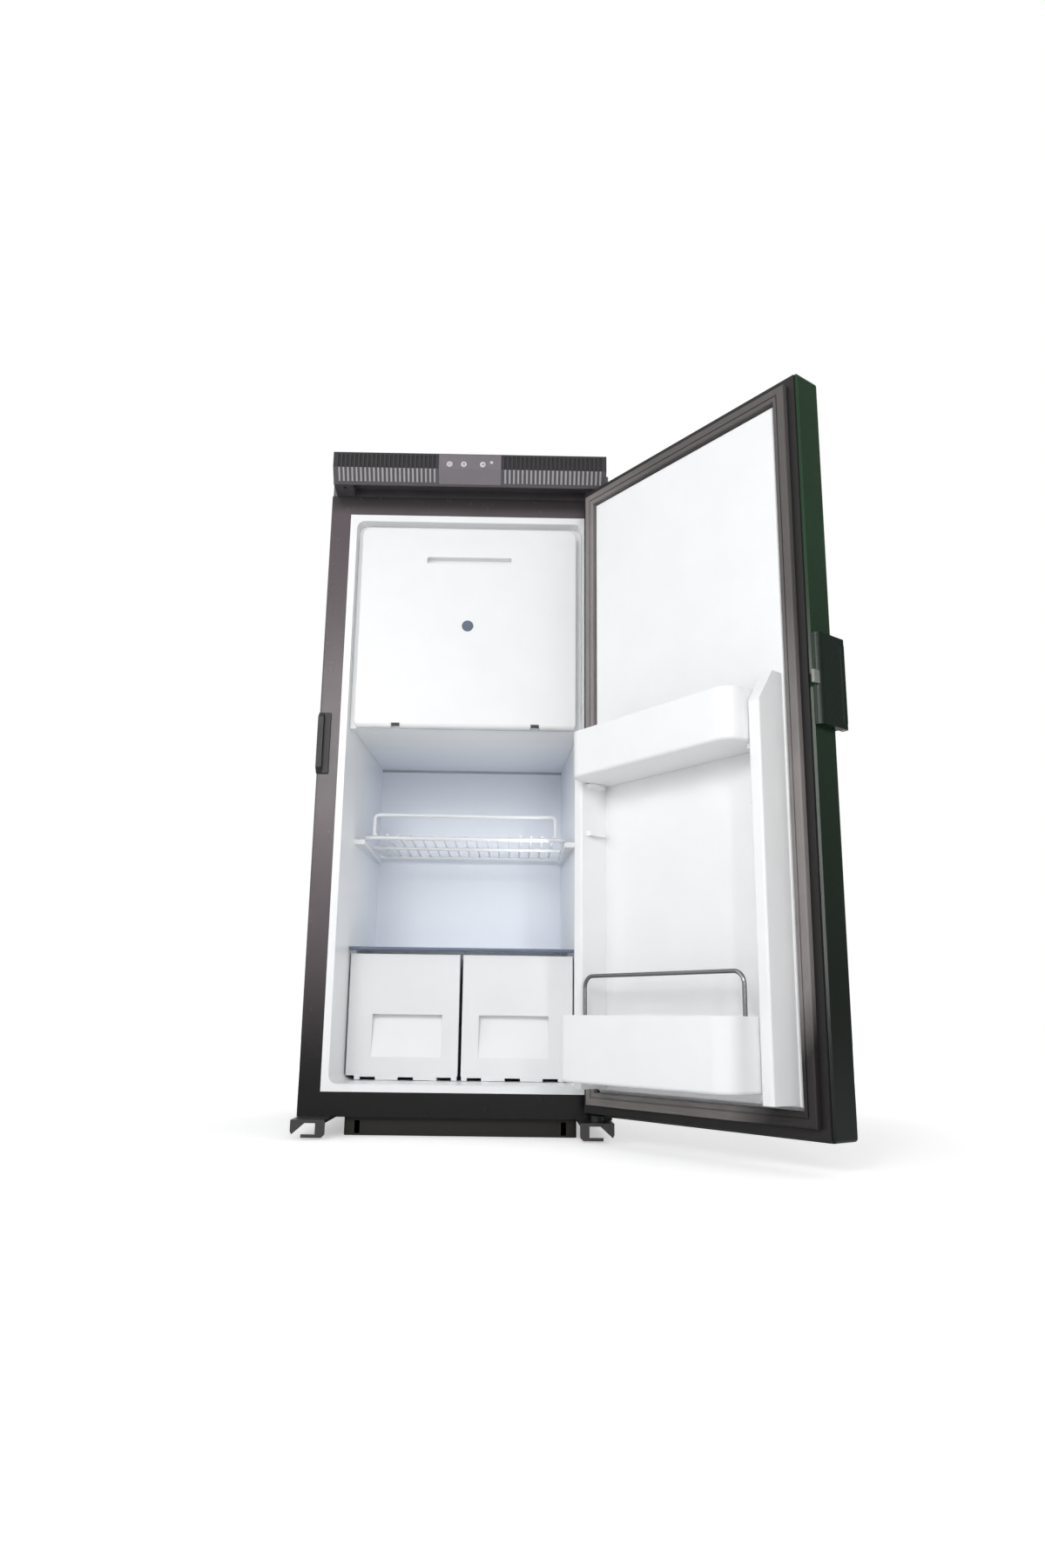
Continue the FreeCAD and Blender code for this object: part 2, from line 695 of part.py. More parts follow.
def build_base():
    body = new_body("base_pan")
    back = "front + cab_depth - base_set"
    low = ("-base_width / 2", "front + base_set")
    right = "base_width / 2 + base_extra"
    high = (right, back)
    pad(body, sketch(body, "XY_Plane", "0", rectangle(low, high)), "base_height")
    fillet(body, "base_slot / 2", runs_along("z"))
    inner_low = ("-base_width / 2 + steel", "front + base_set + steel")
    inner_high = (f"{right} - steel", back + " - steel")
    top = sketch(body, "XY_Plane", "base_height", rectangle(inner_low, inner_high))
    pocket(body, top, "base_height - steel")
    holes = [(f"{i} * fix_across / 2", f"{j} * fix_along / 2", "fix_hole") for i in (-1, 1) for j in (-1, 1)]
    pocket(body, sketch(body, "XY_Plane", "2 * steel", *holes), "3 * steel")
    slots = []
    for edge in ("-base_width / 2 + 2 * base_slot", f"{right} - 3 * base_slot"):
        slots.append(rectangle((edge, "2 * steel"), (f"{edge} + base_slot", "base_height - 4 * steel")))
    pocket(body, sketch(body, "XZ_Plane", "front", *slots), "base_set + 2 * steel")


# Steel casing and the panels of the insulated box

def build_casing():
    half = "cab_width / 2"
    inner = "cab_width / 2 - steel"
    under = "cab_height - steel"
    body = new_body("outer_casing")
    outline = [
        (f"-{half}", "base_height"), (f"-{half}", "cab_height"), (half, "cab_height"), (half, "base_height"),
        (inner, "base_height"), (inner, under), (f"-({inner})", under), (f"-({inner})", "base_height"),
    ]
    profile = sketch(body, "XZ_Plane", "front + frame_depth", outline)
    pad(body, profile, "cab_depth - frame_depth", back=True)

    body = new_body("bottom_panel")
    outline = [
        ("front + frame_depth", "base_height"), ("niche_front", "base_height"), ("niche_front", "niche_top"),
        ("box_back", "niche_top"), ("box_back", "niche_top + steel"),
        ("niche_front - steel", "niche_top + steel"), ("niche_front - steel", "base_height + steel"),
        ("front + frame_depth", "base_height + steel"),
    ]
    pad(body, sketch(body, "YZ_Plane", "0", outline), f"2 * ({inner})", both=True)

    top = box("box_top_panel", (f"-({inner})", "front + frame_depth", "frame_top"),
              (inner, "box_back", "frame_top + steel"))
    node(top, "box_top_panel")
    back = box("back_panel", (f"-({inner})", "box_back", "niche_top"),
               (inner, "box_back + steel", "frame_top + steel"))
    node(back, "back_panel")


def rounded_along(name, base, radius, high):
    """Round the two long edges at the top or at the bottom of a tapered block."""
    doc.recompute()
    bounds = base.Shape.BoundBox
    level = bounds.ZMax if high else bounds.ZMin
    chosen = []
    for index, edge in enumerate(base.Shape.Edges, 1):
        own = edge.BoundBox
        if near(own.ZMin, level) and near(own.ZMax, level) and own.YLength > bounds.YLength / 2:
            chosen.append((index, radius, radius))
    item = doc.addObject("Part::Fillet", name)
    item.Base = base
    item.Edges = chosen
    return item


def liner_block(name, half, low, high, depth, radius, top):
    """A block with the liner's draft, from the front plane back to a depth."""
    lean = f"wall_draft * ({depth}) / cavity_depth"
    block = tapered(name, (half, low, high), (f"({half}) - {lean}", low, high), "front", f"front + {depth}")
    return rounded_along(name + "_rounded", block, size(radius), top)


def liner_outside(name):
    half = "cavity_half + liner_wall"
    radius = "cavity_round + liner_wall"
    upper = liner_block(name + "_upper", half, "step_top - liner_wall", "cavity_high + liner_wall",
                        "(cavity_depth + liner_wall)", radius, True)
    lower = liner_block(name + "_lower", half, "cavity_low - liner_wall", "step_top",
                        "(lower_depth + liner_wall)", radius, False)
    return fuse(name, upper, lower)


def build_liner():
    lip = box("liner_lip", ("-(open_half)", "front", "open_low"),
              ("open_half", "front + lip_depth", "open_high"))
    shell = fuse("liner_shell", lip, liner_outside("liner_outside"))
    upper = liner_block("cavity_upper", "cavity_half", "step_top", "cavity_high", "cavity_depth",
                        "cavity_round", True)
    lower = liner_block("cavity_lower", "cavity_half", "cavity_low", "step_top + 1", "lower_depth",
                        "cavity_round", False)
    walls = cut("liner_walls", shell, upper, lower)
    additions = [walls]
    rear_half = "cavity_half - wall_draft"
    shelf_back = "shelf_front + shelf_run"
    levels = [
        ("shelf", "shelf_front", shelf_back, "shelf_z - rest_gap", rear_half + " - ledge_width / 2"),
        ("cover", "crisper_front + 2 * crisper_face", "front + lower_depth", "cover_low",
         rear_half + " + ledge_width / 4"),
    ]
    for name, y_low, y_high, top, reach in levels:
        for side in ("left", "right"):
            inner, outer = (reach, "cavity_half + liner_wall")
            ends = (inner, outer) if side == "right" else (f"-({outer})", f"-({inner})")
            rib = box(f"{name}_ledge_{side}", (ends[0], y_low, f"{top} - ledge_height"),
                      (ends[1], y_high, top))
            additions.append(common(f"{name}_rib_{side}", rib, liner_outside(f"{name}_{side}_trim")))
    for count, place in enumerate((-0.75, -0.25, 0.25, 0.75)):
        middle = f"{place} * crisper_half"
        runner = box(f"floor_runner_{count}",
                     (f"{middle} - runner_width / 2", "crisper_front", "cavity_low - liner_wall / 2"),
                     (f"{middle} + runner_width / 2", "front + lower_depth", "cavity_low + runner_height"))
        additions.append(runner)
    node(fuse("inner_liner", *additions), "inner_liner")


def build_foam():
    inner = "cab_width / 2 - steel"
    block = box("foam_block", (f"-({inner})", "front + frame_depth", "base_height + steel"),
                (inner, "box_back", "frame_top"))
    niche = box("foam_niche", ("-cab_width", "niche_front - steel", "0"),
                ("cab_width", "box_back + cab_depth", "niche_top + steel"))
    node(cut("insulation_foam", block, niche, liner_outside("foam_cavity")), "insulation_foam")


def build_frame():
    body = new_body("front_frame")
    half = "cab_width / 2"
    outer = rectangle((f"-{half}", "base_height"), (half, "frame_top"))
    opening = rectangle(("-(open_half)", "open_low"), ("open_half", "open_high"))
    pad(body, sketch(body, "XZ_Plane", "front", outer, opening), "frame_depth", back=True)
    sides = either(on_side("XMin"), on_side("XMax"))
    fillet(body, "frame_round", every(on_side("YMin"), sides))


# Vent: a slotted face with a bevel, in front of a duct housing whose solid cheeks hold the hinge pin

def build_vent():
    back = "front + frame_depth"
    inner_top = ("vent_front + vent_wall", "cab_height")
    inner_crease = ("vent_front + vent_wall", "vent_crease")
    inner_lip = ("vent_lip + vent_wall", "frame_top")
    body = new_body("vent_housing")
    outline = [(back, "frame_top"), inner_lip, inner_crease, inner_top, (back, "cab_height")]
    pad(body, sketch(body, "YZ_Plane", "0", outline), "vent_width", both=True)
    inside = "vent_width - 2 * cheek_width"
    ceiling = "cab_height - vent_wall"
    duct = rectangle(("vent_front", "soffit + vent_wall"), (back, ceiling))
    pocket(body, sketch(body, "YZ_Plane", "0", duct), inside, both=True)
    recess = rectangle(("vent_front", "frame_top"), ("front", "soffit"))
    pocket(body, sketch(body, "YZ_Plane", "0", recess), inside, both=True)
    pins = [(f"{side} * (pivot_x)", "pivot_y", "pin_size") for side in (-1, 1)]
    pocket(body, sketch(body, "XY_Plane", "frame_top", *pins), "pin_reach", back=True)

    body = new_body("vent_panel")
    strip = [
        ("vent_lip", "frame_top"), ("vent_front", "vent_crease"), ("vent_front", "cab_height"),
        inner_top, inner_crease, inner_lip,
    ]
    pad(body, sketch(body, "YZ_Plane", "0", strip), "vent_width", both=True)
    fillet(body, "vent_wall * 0.8", every(on_side("ZMax"), on_side("YMin")))
    window = rectangle(("-panel_width / 2 - rest_gap", "frame_top + panel_margin - rest_gap"),
                       ("panel_width / 2 + rest_gap", "cab_height - panel_margin + rest_gap"))
    pocket(body, sketch(body, "XZ_Plane", "vent_front", window), "vent_bevel + vent_wall")
    slits = int(size("(vent_width / 2 - panel_width / 2 - slit_end) / slit_pitch"))
    for side in (-1, 1):
        first = f"{side} * (panel_width / 2 + slit_pitch)"
        slit = rectangle((f"{first} - slit_width / 2", "frame_top + slit_margin"),
                         (f"{first} + slit_width / 2", "cab_height - slit_margin"))
        profile = sketch(body, "XZ_Plane", "vent_front", slit)
        original = pocket(body, profile, "vent_bevel + vent_wall")
        pattern(body, "LinearPattern", original, Direction=(profile, ["H_Axis"]), Reversed=side < 0,
                Length=f"slit_pitch * {slits - 1}", Occurrences=slits)


def build_controls():
    body = new_body("control_panel")
    low = "frame_top + panel_margin"
    high = "cab_height - panel_margin"
    drop = "(panel_margin / (cab_height - vent_upright - frame_top) * vent_bevel)"
    outline = [
        ("panel_face", high), ("panel_face", "vent_crease"), (f"vent_lip - panel_proud - {drop}", low),
        (f"vent_lip + vent_wall - {drop}", low), ("panel_back", "vent_crease"), ("panel_back", high),
    ]
    pad(body, sketch(body, "YZ_Plane", "0", outline), "panel_width", both=True)
    posts = [(f"{side} * panel_width / 2.4", "button_z", "light_size") for side in (-1, 1)]
    pad(body, sketch(body, "XZ_Plane", "panel_back", *posts), "board_gap", back=True)
    buttons = ("button_first", "button_second", "button_third")
    holes = [(place, "button_z", "button_size + 2 * button_play") for place in buttons]
    holes.append(("light_place", "button_z + light_lift", "light_size"))
    pocket(body, sketch(body, "XZ_Plane", "panel_face", *holes), "vent_wall + 2 * panel_proud")

    board_face = "panel_back + board_gap"
    board = box("control_board", ("-panel_width / 2 + 2", board_face, "button_z - button_size"),
                ("panel_width / 2 - 2", f"{board_face} + board_thick", "button_z + button_size"))
    node(board, "control_board")

    body = new_body("status_light")
    lens = ("light_place", "button_z + light_lift", "light_size")
    profile = sketch(body, "XZ_Plane", "panel_face - panel_proud", lens)
    pad(body, profile, "vent_wall + 2 * panel_proud", back=True)
    chamfer(body, "panel_proud", on_side("YMin"))

    for label, place in zip(("power_button", "mode_button", "level_button"), buttons):
        build_button(label, place)


def build_button(label, place):
    """A capped button whose flange sits behind the panel and whose stem points at the board."""
    body = new_body(label)
    cap = sketch(body, "XZ_Plane", "panel_face - button_proud", (place, "button_z", "button_size"))
    pad(body, cap, "button_proud + panel_proud + vent_wall + button_play", back=True)
    chamfer(body, "button_proud / 2", on_side("YMin"))
    flange = sketch(body, "XZ_Plane", "panel_back + button_play", (place, "button_z", "button_size + 2"))
    pad(body, flange, "board_gap / 4", back=True)
    stem = sketch(body, "XZ_Plane", "panel_back + button_play", (place, "button_z", "button_size / 2"))
    pad(body, stem, "board_gap - button_play - button_travel - rest_gap", back=True)


# Freezer: bezel, box, flap, hinge pins and the plain disc

def build_freezer():
    lean = "wall_draft * ({} - front) / cavity_depth"
    near_half = "cavity_half - rest_gap - " + lean.format("(bezel_front)")
    far_half = "cavity_half - rest_gap - " + lean.format("(bezel_back)")
    low = "flap_low"
    high = "cavity_high"
    block = tapered("bezel_block", (near_half, low, high), (far_half, low, high), "bezel_front", "bezel_back")
    ring = rounded_along("bezel_rounded", block, size("cavity_round"), True)
    window_half = "flap_width / 2 - bezel_rim"
    window = box("bezel_window", (f"-({window_half})", "bezel_front - 1", "flap_low + bezel_rim"),
                 (window_half, "bezel_back + 1", "cavity_high - bezel_rim - flap_set"))
    pieces = [cut("bezel_ring", ring, window)]
    lug_half = "knuckle_width / 2 - flap_play"
    lug_reach = "(knuckle_pin / 2 + knuckle_wall)"
    for side in (-1, 1):
        place = f"{side} * knuckle_reach"
        lug = box(f"bezel_lug_{side + 1}",
                  (f"{place} - ({lug_half})", f"flap_axis_y - {lug_reach}", f"flap_axis_z - {lug_reach}"),
                  (f"{place} + {lug_half}", "bezel_front + bezel_depth / 2", f"flap_axis_z + {lug_reach}"))
        bore = rod(f"bezel_bore_{side + 1}", "x", "knuckle_pin + 2 * pin_play",
                   (f"{place} - knuckle_width", "flap_axis_y", "flap_axis_z"), "2 * knuckle_width")
        pieces.append(cut(f"bezel_knuckle_{side + 1}", lug, bore))
    node(fuse("freezer_bezel", *pieces), "freezer_bezel")

    box_half = f"({window_half})"
    floor = "flap_low + bezel_rim - freezer_inset"
    ceiling = "cavity_high - bezel_rim"
    block = box("freezer_block", (f"-{box_half} - freezer_wall", "bezel_back", floor),
                (f"{box_half} + freezer_wall", "front + cavity_depth", ceiling))
    inside = box("freezer_inside", (f"-{box_half}", "bezel_back - 1", f"{floor} + freezer_wall"),
                 (box_half, "front + cavity_depth - freezer_wall", f"{ceiling} - freezer_wall"))
    back_half = "cavity_half - rest_gap - wall_draft"
    base = tapered("freezer_base", (far_half, floor, f"{floor} + freezer_wall"),
                   (back_half, floor, f"{floor} + freezer_wall"), "bezel_back", "front + cavity_depth")
    node(fuse("freezer_box", cut("freezer_walls", block, inside), base), "freezer_box")
    build_flap()


def build_flap():
    body = new_body("freezer_flap")
    half = "flap_width / 2"
    face = rectangle((f"-{half}", "flap_low"), (half, "flap_low + flap_height"))
    pad(body, sketch(body, "XZ_Plane", "flap_front", face), "flap_thick", back=True)
    fillet(body, "flap_corner", every(runs_along("y"), lambda e, b: near(e.BoundBox.ZMax, b.ZMax)))
    front_rim = every(on_side("YMin"), lambda e, b: e.BoundBox.ZMax > b.ZMin + 1)
    fillet(body, "flap_set / 2", front_rim)
    fillet(body, "flap_thick * 0.45", every(on_side("ZMin"), runs_along("x")))
    slot_top = "flap_low + flap_height - slot_drop"
    slot = rectangle(("-slot_width / 2", f"{slot_top} - slot_height"), ("slot_width / 2", slot_top))
    pocket(body, sketch(body, "XZ_Plane", "flap_front", slot), "slot_depth")
    seat = ("0", "flap_low + flap_height / 2", "disc_size")
    pocket(body, sketch(body, "XZ_Plane", "flap_front", seat), "disc_sink")
    notches = []
    for side in (-1, 1):
        place = f"{side} * knuckle_reach"
        notches.append(rectangle((f"{place} - knuckle_width / 2", "flap_low - 1"),
                                 (f"{place} + knuckle_width / 2", "flap_axis_z + knuckle_rise")))
    pocket(body, sketch(body, "XZ_Plane", "flap_front + flap_skin", *notches), "flap_thick")
    for side in (-1, 1):
        place = f"{side} * knuckle_reach - 1.5 * knuckle_width / 2"
        profile = sketch(body, "YZ_Plane", place, ("flap_axis_y", "flap_axis_z", "knuckle_pin"))
        pocket(body, profile, "1.5 * knuckle_width", back=True)

    pins = []
    for side in (-1, 1):
        start = f"{side} * knuckle_reach - 1.5 * knuckle_width / 2"
        pins.append(rod(f"flap_pin_{side + 1}", "x", "knuckle_pin", (start, "flap_axis_y", "flap_axis_z"),
                        "1.5 * knuckle_width"))
    node(fuse("flap_hinge_pins", *pins), "flap_hinge_pins")

    body = new_body("flap_disc")
    pad(body, sketch(body, "XZ_Plane", "flap_front + disc_sink", seat), "disc_thick")
    chamfer(body, "(disc_thick - disc_sink) / 2", on_side("YMin"))


# Wire shelf: a border of bent wire, cross wires on it and a raised front rail

def build_shelf():
    bar = size("shelf_bar")
    wire = size("shelf_wire")
    rail_bar = size("rail_wire")
    y_front = size("shelf_front") + bar / 2
    y_back = y_front + size("shelf_run") - bar
    level = size("shelf_z") + bar / 2
    half = size("shelf_half") - bar / 2
    corners = [(0, y_front), (half, y_front), (half, y_back), (-half, y_back), (-half, y_front), (0, y_front)]
    pieces = [bent_wire([Vector(x, y, level) for x, y in corners], bar, 2 * bar)]
    count = int(size("shelf_wires"))
    spread = 2 * (half - 3 * bar)
    on_top = level + bar / 2 + wire / 2
    for i in range(count):
        x = -spread / 2 + spread * i / (count - 1)
        start = Vector(x, y_front - bar / 2, on_top)
        pieces.append(straight_wire(start, Vector(x, y_back + bar / 2, on_top), wire))
    middle = (y_front + y_back) / 2
    inner = half - bar / 2
    pieces.append(straight_wire(Vector(-inner, middle, level), Vector(inner, middle, level), bar))
    rail_half = size("rail_width") / 2
    foot = level + bar / 2
    rail_top = foot + size("rail_height")
    rail = [Vector(-rail_half, y_front, foot), Vector(-rail_half, y_front, rail_top),
            Vector(rail_half, y_front, rail_top), Vector(rail_half, y_front, foot)]
    pieces.append(bent_wire(rail, rail_bar, size("rail_bend")))
    freeform("wire_shelf", Part.makeCompound(pieces))


# Crispers and their cover

def build_crisper(label, side):
    """A tub with a wider front; the finger recess in the front slopes back to its top."""
    body = new_body(label)
    inner = "crisper_gap / 2"
    ends = (inner, "crisper_half") if side > 0 else ("-(crisper_half)", f"-{inner}")
    low = (ends[0], "crisper_front")
    high = (ends[1], "crisper_front + crisper_run")
    pad(body, sketch(body, "XY_Plane", "crisper_low", rectangle(low, high)), "crisper_height")
    grip_top = "crisper_low + grip_low + grip_height"
    slope = [("crisper_front", "crisper_low + grip_low"), ("crisper_front + grip_depth", grip_top),
             ("crisper_front", grip_top)]
    profile = sketch(body, "YZ_Plane", f"{ends[0]} + grip_side", slope)
    pocket(body, profile, f"({ends[1]}) - ({ends[0]}) - 2 * grip_side", back=True)
    fillet(body, "crisper_round", every(runs_along("z"), on_side("YMax")))
    hollow(body, "crisper_wall", on_side("ZMax"))
    wide = "cavity_half - wall_draft * crisper_set / cavity_depth - face_gap"
    face_ends = ("face_gap", wide) if side > 0 else (f"-({wide})", "-face_gap")
    top = "crisper_low + crisper_height"
    wings = [
        rectangle((face_ends[0], "crisper_low"), (f"{ends[0]} + crisper_wall / 2", top)),
        rectangle((f"{ends[1]} - crisper_wall / 2", "crisper_low"), (face_ends[1], top)),
    ]
    pad(body, sketch(body, "XZ_Plane", "crisper_front", *wings), "crisper_face", back=True)
    sides = either(on_side("XMin"), on_side("XMax"))
    fillet(body, "crisper_face / 3", every(runs_along("z"), on_side("YMin"), sides))


def build_crispers():
    build_crisper("crisper_left", -1)
    build_crisper("crisper_right", 1)
    lean = "wall_draft * ({} - front) / cavity_depth"
    trim_front = "crisper_front - trim_depth"
    near_half = "cavity_half - rest_gap - " + lean.format("(crisper_front)")
    far_half = "cavity_half - rest_gap - " + lean.format("(front + lower_depth)")
    cover = tapered("crisper_cover", (near_half, "cover_low", "cover_top"),
                    (far_half, "cover_low", "cover_top"), "crisper_front", "front + lower_depth")
    node(cover, "crisper_cover")
    body = new_body("cover_trim")
    middle = "(cover_low + cover_top) / 2"
    outline = rectangle((trim_front, f"{middle} - trim_height / 2"),
                        ("crisper_front", f"{middle} + trim_height / 2"))
    pad(body, sketch(body, "YZ_Plane", "0", outline), f"2 * ({near_half})", both=True)
    fillet(body, "trim_height / 3", every(runs_along("x"), on_side("YMin")))


# Door: shell, foam, liner, gasket, bushes

def door_plate(inset):
    half = f"door_width / 2 - ({inset})"
    return rectangle((f"-({half})", f"door_low + ({inset})"), (half, f"door_high - ({inset})"))


def bush_circle():
    return ("pivot_x", "pivot_y", "bush_size")


def build_door():
    body = new_body("door_shell")
    pad(body, sketch(body, "XZ_Plane", "door_inner", door_plate("0")), "door_thick")
    fillet(body, "door_round", either(runs_along("y"), on_side("YMin")))
    chamfer(body, "rim_bevel", on_side("YMax"))
    decor = sketch(body, "XZ_Plane", "door_outer", door_plate("decor_inset"))
    pocket(body, decor, "decor_depth")
    inside = sketch(body, "XZ_Plane", "door_inner", door_plate("shell_wall"))
    pocket(body, inside, "door_thick - shell_wall", back=True)
    for level, back in (("door_low", True), ("door_high", False)):
        pocket(body, sketch(body, "XY_Plane", level, bush_circle()), "bush_length", back=back)
    swing_open(body)

    body = new_body("door_foam")
    foam_back = "door_inner - liner_wall"
    depth = "door_thick - shell_wall - liner_wall"
    pad(body, sketch(body, "XZ_Plane", foam_back, door_plate("shell_wall")), depth)
    for level, back in (("door_low", True), ("door_high", False)):
        pocket(body, sketch(body, "XY_Plane", level, bush_circle()), "bush_length", back=back)
    swing_open(body)

    build_door_liner()
    build_gasket()
    for label, level in (("hinge_bush_bottom", "door_low"), ("hinge_bush_top", "door_high - bush_length")):
        body = new_body(label)
        bore = ("pivot_x", "pivot_y", "pin_size + 2 * pin_play")
        pad(body, sketch(body, "XY_Plane", level, bush_circle(), bore), "bush_length")
        swing_open(body)


def build_door_liner():
    """A sheet flush with the shell's rim, a raised centre panel, two side ribs and the lugs for the bins."""
    body = new_body("door_liner")
    pad(body, sketch(body, "XZ_Plane", "door_inner", door_plate("shell_wall")), "liner_wall")
    pad(body, sketch(body, "XZ_Plane", "door_inner", door_plate("plug_inset")), "plug_rise", back=True)
    fillet(body, "plug_round", on_side("YMax"))
    rise = "plug_face + dyke_rise - plug_rise"
    low = "door_low + plug_inset + dyke_inset"
    top = "base_height + dyke_top"
    shoulder = [
        ("plug_face", low), (rise, low), (rise, f"{top} - dyke_slope"),
        ("plug_face + dyke_rise / 3", top), ("plug_face", top),
    ]
    for ends in (("dyke_in", "dyke_out"), ("-(dyke_out)", "-(dyke_in)")):
        profile = sketch(body, "YZ_Plane", ends[0], shoulder)
        pad(body, profile, f"({ends[1]}) - ({ends[0]})")
    fillet(body, "plug_round", every(on_side("YMax"), runs_along("z")))
    lug_back = "plug_face + (dyke_rise - plug_rise - lug_run) / 2"
    lug_tops = ("upper_floor - rest_gap", "lower_floor - rest_gap", "base_height + spare_level")
    for top in lug_tops:
        lugs = [
            rectangle(("dyke_in - lug_reach", f"{top} - lug_height"), ("dyke_in", top)),
            rectangle(("-(dyke_in)", f"{top} - lug_height"), ("-(dyke_in) + lug_reach", top)),
        ]
        pad(body, sketch(body, "XZ_Plane", lug_back, *lugs), "lug_run", back=True)
    swing_open(body)


def build_gasket():
    """A thin flange beside the shell's rim and a tall sealing bulb, creased along its face."""
    body = new_body("door_gasket")
    bulb = "shell_wall + flange_width"
    for start, height in (("shell_wall", "flange_thick"), (bulb, "gasket_thick")):
        ring = sketch(body, "XZ_Plane", "door_inner", door_plate(start), door_plate("gasket_inner"))
        pad(body, ring, height, back=True)
    fillet(body, "bulb_round", on_side("YMax"))
    inner = "gasket_inner - crease_in"
    crease = sketch(body, "XZ_Plane", "door_inner + gasket_thick", door_plate(f"{inner} - crease_width"),
                    door_plate(inner))
    pocket(body, crease, "crease_depth", back=True)
    swing_open(body)


# Door bins and the bottle rail

def build_bin(label, floor, height, run):
    body = new_body(label)
    low = ("-(bin_half)", "bin_back")
    high = ("bin_half", f"bin_back + {run}")
    pad(body, sketch(body, "XY_Plane", floor, rectangle(low, high)), height)
    fillet(body, "bin_round", every(runs_along("z"), on_side("YMax")))
    fillet(body, "bin_wall * 2", every(on_side("ZMin"), lambda e, b: e.BoundBox.YMax > b.YMin + 1))
    hollow(body, "bin_wall", on_side("ZMax"))
    return body


def build_bins():
    swing_open(build_bin("upper_bin", "upper_floor", "upper_height", "upper_run"))
    body = build_bin("lower_bin", "lower_floor", "lower_height", "lower_run")
    rim = "lower_floor + lower_height"
    blocks = []
    bores = []
    for side in (-1, 1):
        place = f"{side} * hoop_width / 2"
        blocks.append(rectangle((f"{place} - {side} * socket_size / 2", "hoop_y - socket_size / 2"),
                                (f"{side} * (bin_half - bin_wall / 2)", "hoop_y + socket_size / 2")))
        bores.append((place, "hoop_y", "hoop_wire"))
    pad(body, sketch(body, "XY_Plane", f"{rim} - socket_depth", *blocks), "socket_depth")
    pocket(body, sketch(body, "XY_Plane", rim, *bores), "socket_depth / 2")
    swing_open(body)

    foot = size(f"{rim} - socket_depth / 2")
    half = size("hoop_width / 2")
    y = size("hoop_y")
    top = size("base_height + hoop_top")
    path = [Vector(-half, y, foot), Vector(-half, y, top), Vector(half, y, top), Vector(half, y, foot)]
    swing_open(freeform("bottle_rail", bent_wire(path, size("hoop_wire"), size("hoop_bend"))))


# Latch on the door's free edge and its catch on the cabinet

def build_latch():
    body = new_body("latch_housing")
    low = "latch_low"
    high = "latch_low + latch_height"
    wrap = "free_edge + latch_wrap"
    plan = [
        ("latch_side", "latch_back"), ("free_edge", "latch_back"), ("free_edge", "door_outer"),
        (wrap, "door_outer"), (wrap, "latch_face"), ("latch_side", "latch_face"),
    ]
    pad(body, sketch(body, "XY_Plane", low, plan), "latch_height")
    ear = rectangle(("latch_side", "latch_face - ear_reach"), ("latch_side + ear_reach", "latch_face"))
    for level in (low, f"{high} - ear_height"):
        pad(body, sketch(body, "XY_Plane", level, ear), "ear_height")
    fillet(body, "latch_plate", every(runs_along("z"), on_side("XMin"), on_side("YMin")))
    fillet(body, "latch_round", every(runs_along("z"), on_side("XMin"), on_side("YMax")))
    bore = ("handle_axis_x", "handle_axis_y", "handle_pin")
    pocket(body, sketch(body, "XY_Plane", low, bore), "latch_height", back=True)
    slot_low = "latch_middle - pawl_height / 2 - rest_gap"
    slot_high = "latch_middle + pawl_height / 2 + rest_gap"
    slot = rectangle(("pawl_side - rest_gap", slot_low),
                     ("pawl_side + pawl_width + pawl_travel + rest_gap", slot_high))
    pocket(body, sketch(body, "XZ_Plane", "latch_back", slot), "pawl_length + rest_gap", back=True)
    swing_open(body)

    body = new_body("latch_pawl")
    half = "pawl_height / 2"
    section = rectangle(("pawl_side", f"latch_middle - {half}"),
                        ("pawl_side + pawl_width", f"latch_middle + {half}"))
    profile = sketch(body, "XZ_Plane", "latch_back - pawl_length", section)
    pad(body, profile, "pawl_length + pawl_nose", back=True)
    chamfer(body, "pawl_width / 2", every(on_side("YMax"), on_side("XMin")))
    swing_open(body)

    body = new_body("handle_pin")
    pad(body, sketch(body, "XY_Plane", low, bore), "latch_height")
    swing_open(body)
    build_handle()
    build_catch()


def build_handle():
    """A hollow pull that turns on the pin: a rounded nose round the pin and a plate to pull on."""
    body = new_body("latch_handle")
    low = "latch_low + ear_height + handle_play"
    length = "latch_height - 2 * (ear_height + handle_play)"
    outer = "latch_face - ear_reach"
    inner = "latch_face - handle_play"
    wrap = "free_edge + latch_wrap"
    plan = [
        ("latch_side", inner), ("latch_side", outer), (wrap, outer), (wrap, f"{outer} + handle_wall"),
        ("latch_side + ear_reach", f"{outer} + handle_wall"), ("latch_side + ear_reach", inner),
    ]
    pad(body, sketch(body, "XY_Plane", low, plan), length)
    fillet(body, "handle_wall * 0.6", every(runs_along("z"), on_side("YMin")))
    fillet(body, "ear_reach * 0.46", every(runs_along("z"), on_side("XMin"), on_side("YMax")))
    bore = ("handle_axis_x", "handle_axis_y", "handle_pin + 2 * pin_play")
    pocket(body, sketch(body, "XY_Plane", low, bore), length, back=True)
    swing_open(body)


def build_catch():
    body = new_body("latch_catch")
    side = "-cab_width / 2"
    lip = "pawl_side - catch_play"
    plan = [
        (side, "front"), (f"{side} + catch_width", "front"), (f"{side} + catch_width", "front - catch_floor"),
        (lip, "front - catch_floor"), (lip, "front - catch_rise"), (side, "front - catch_rise"),
    ]
    pad(body, sketch(body, "XY_Plane", "catch_low", plan), "catch_height")
    ends = either(on_side("ZMin"), on_side("ZMax"))
    chamfer(body, "catch_chamfer", every(on_side("YMin"), ends, runs_along("x")))


# Lower hinge: brackets at both corners, pins, spacer and screws

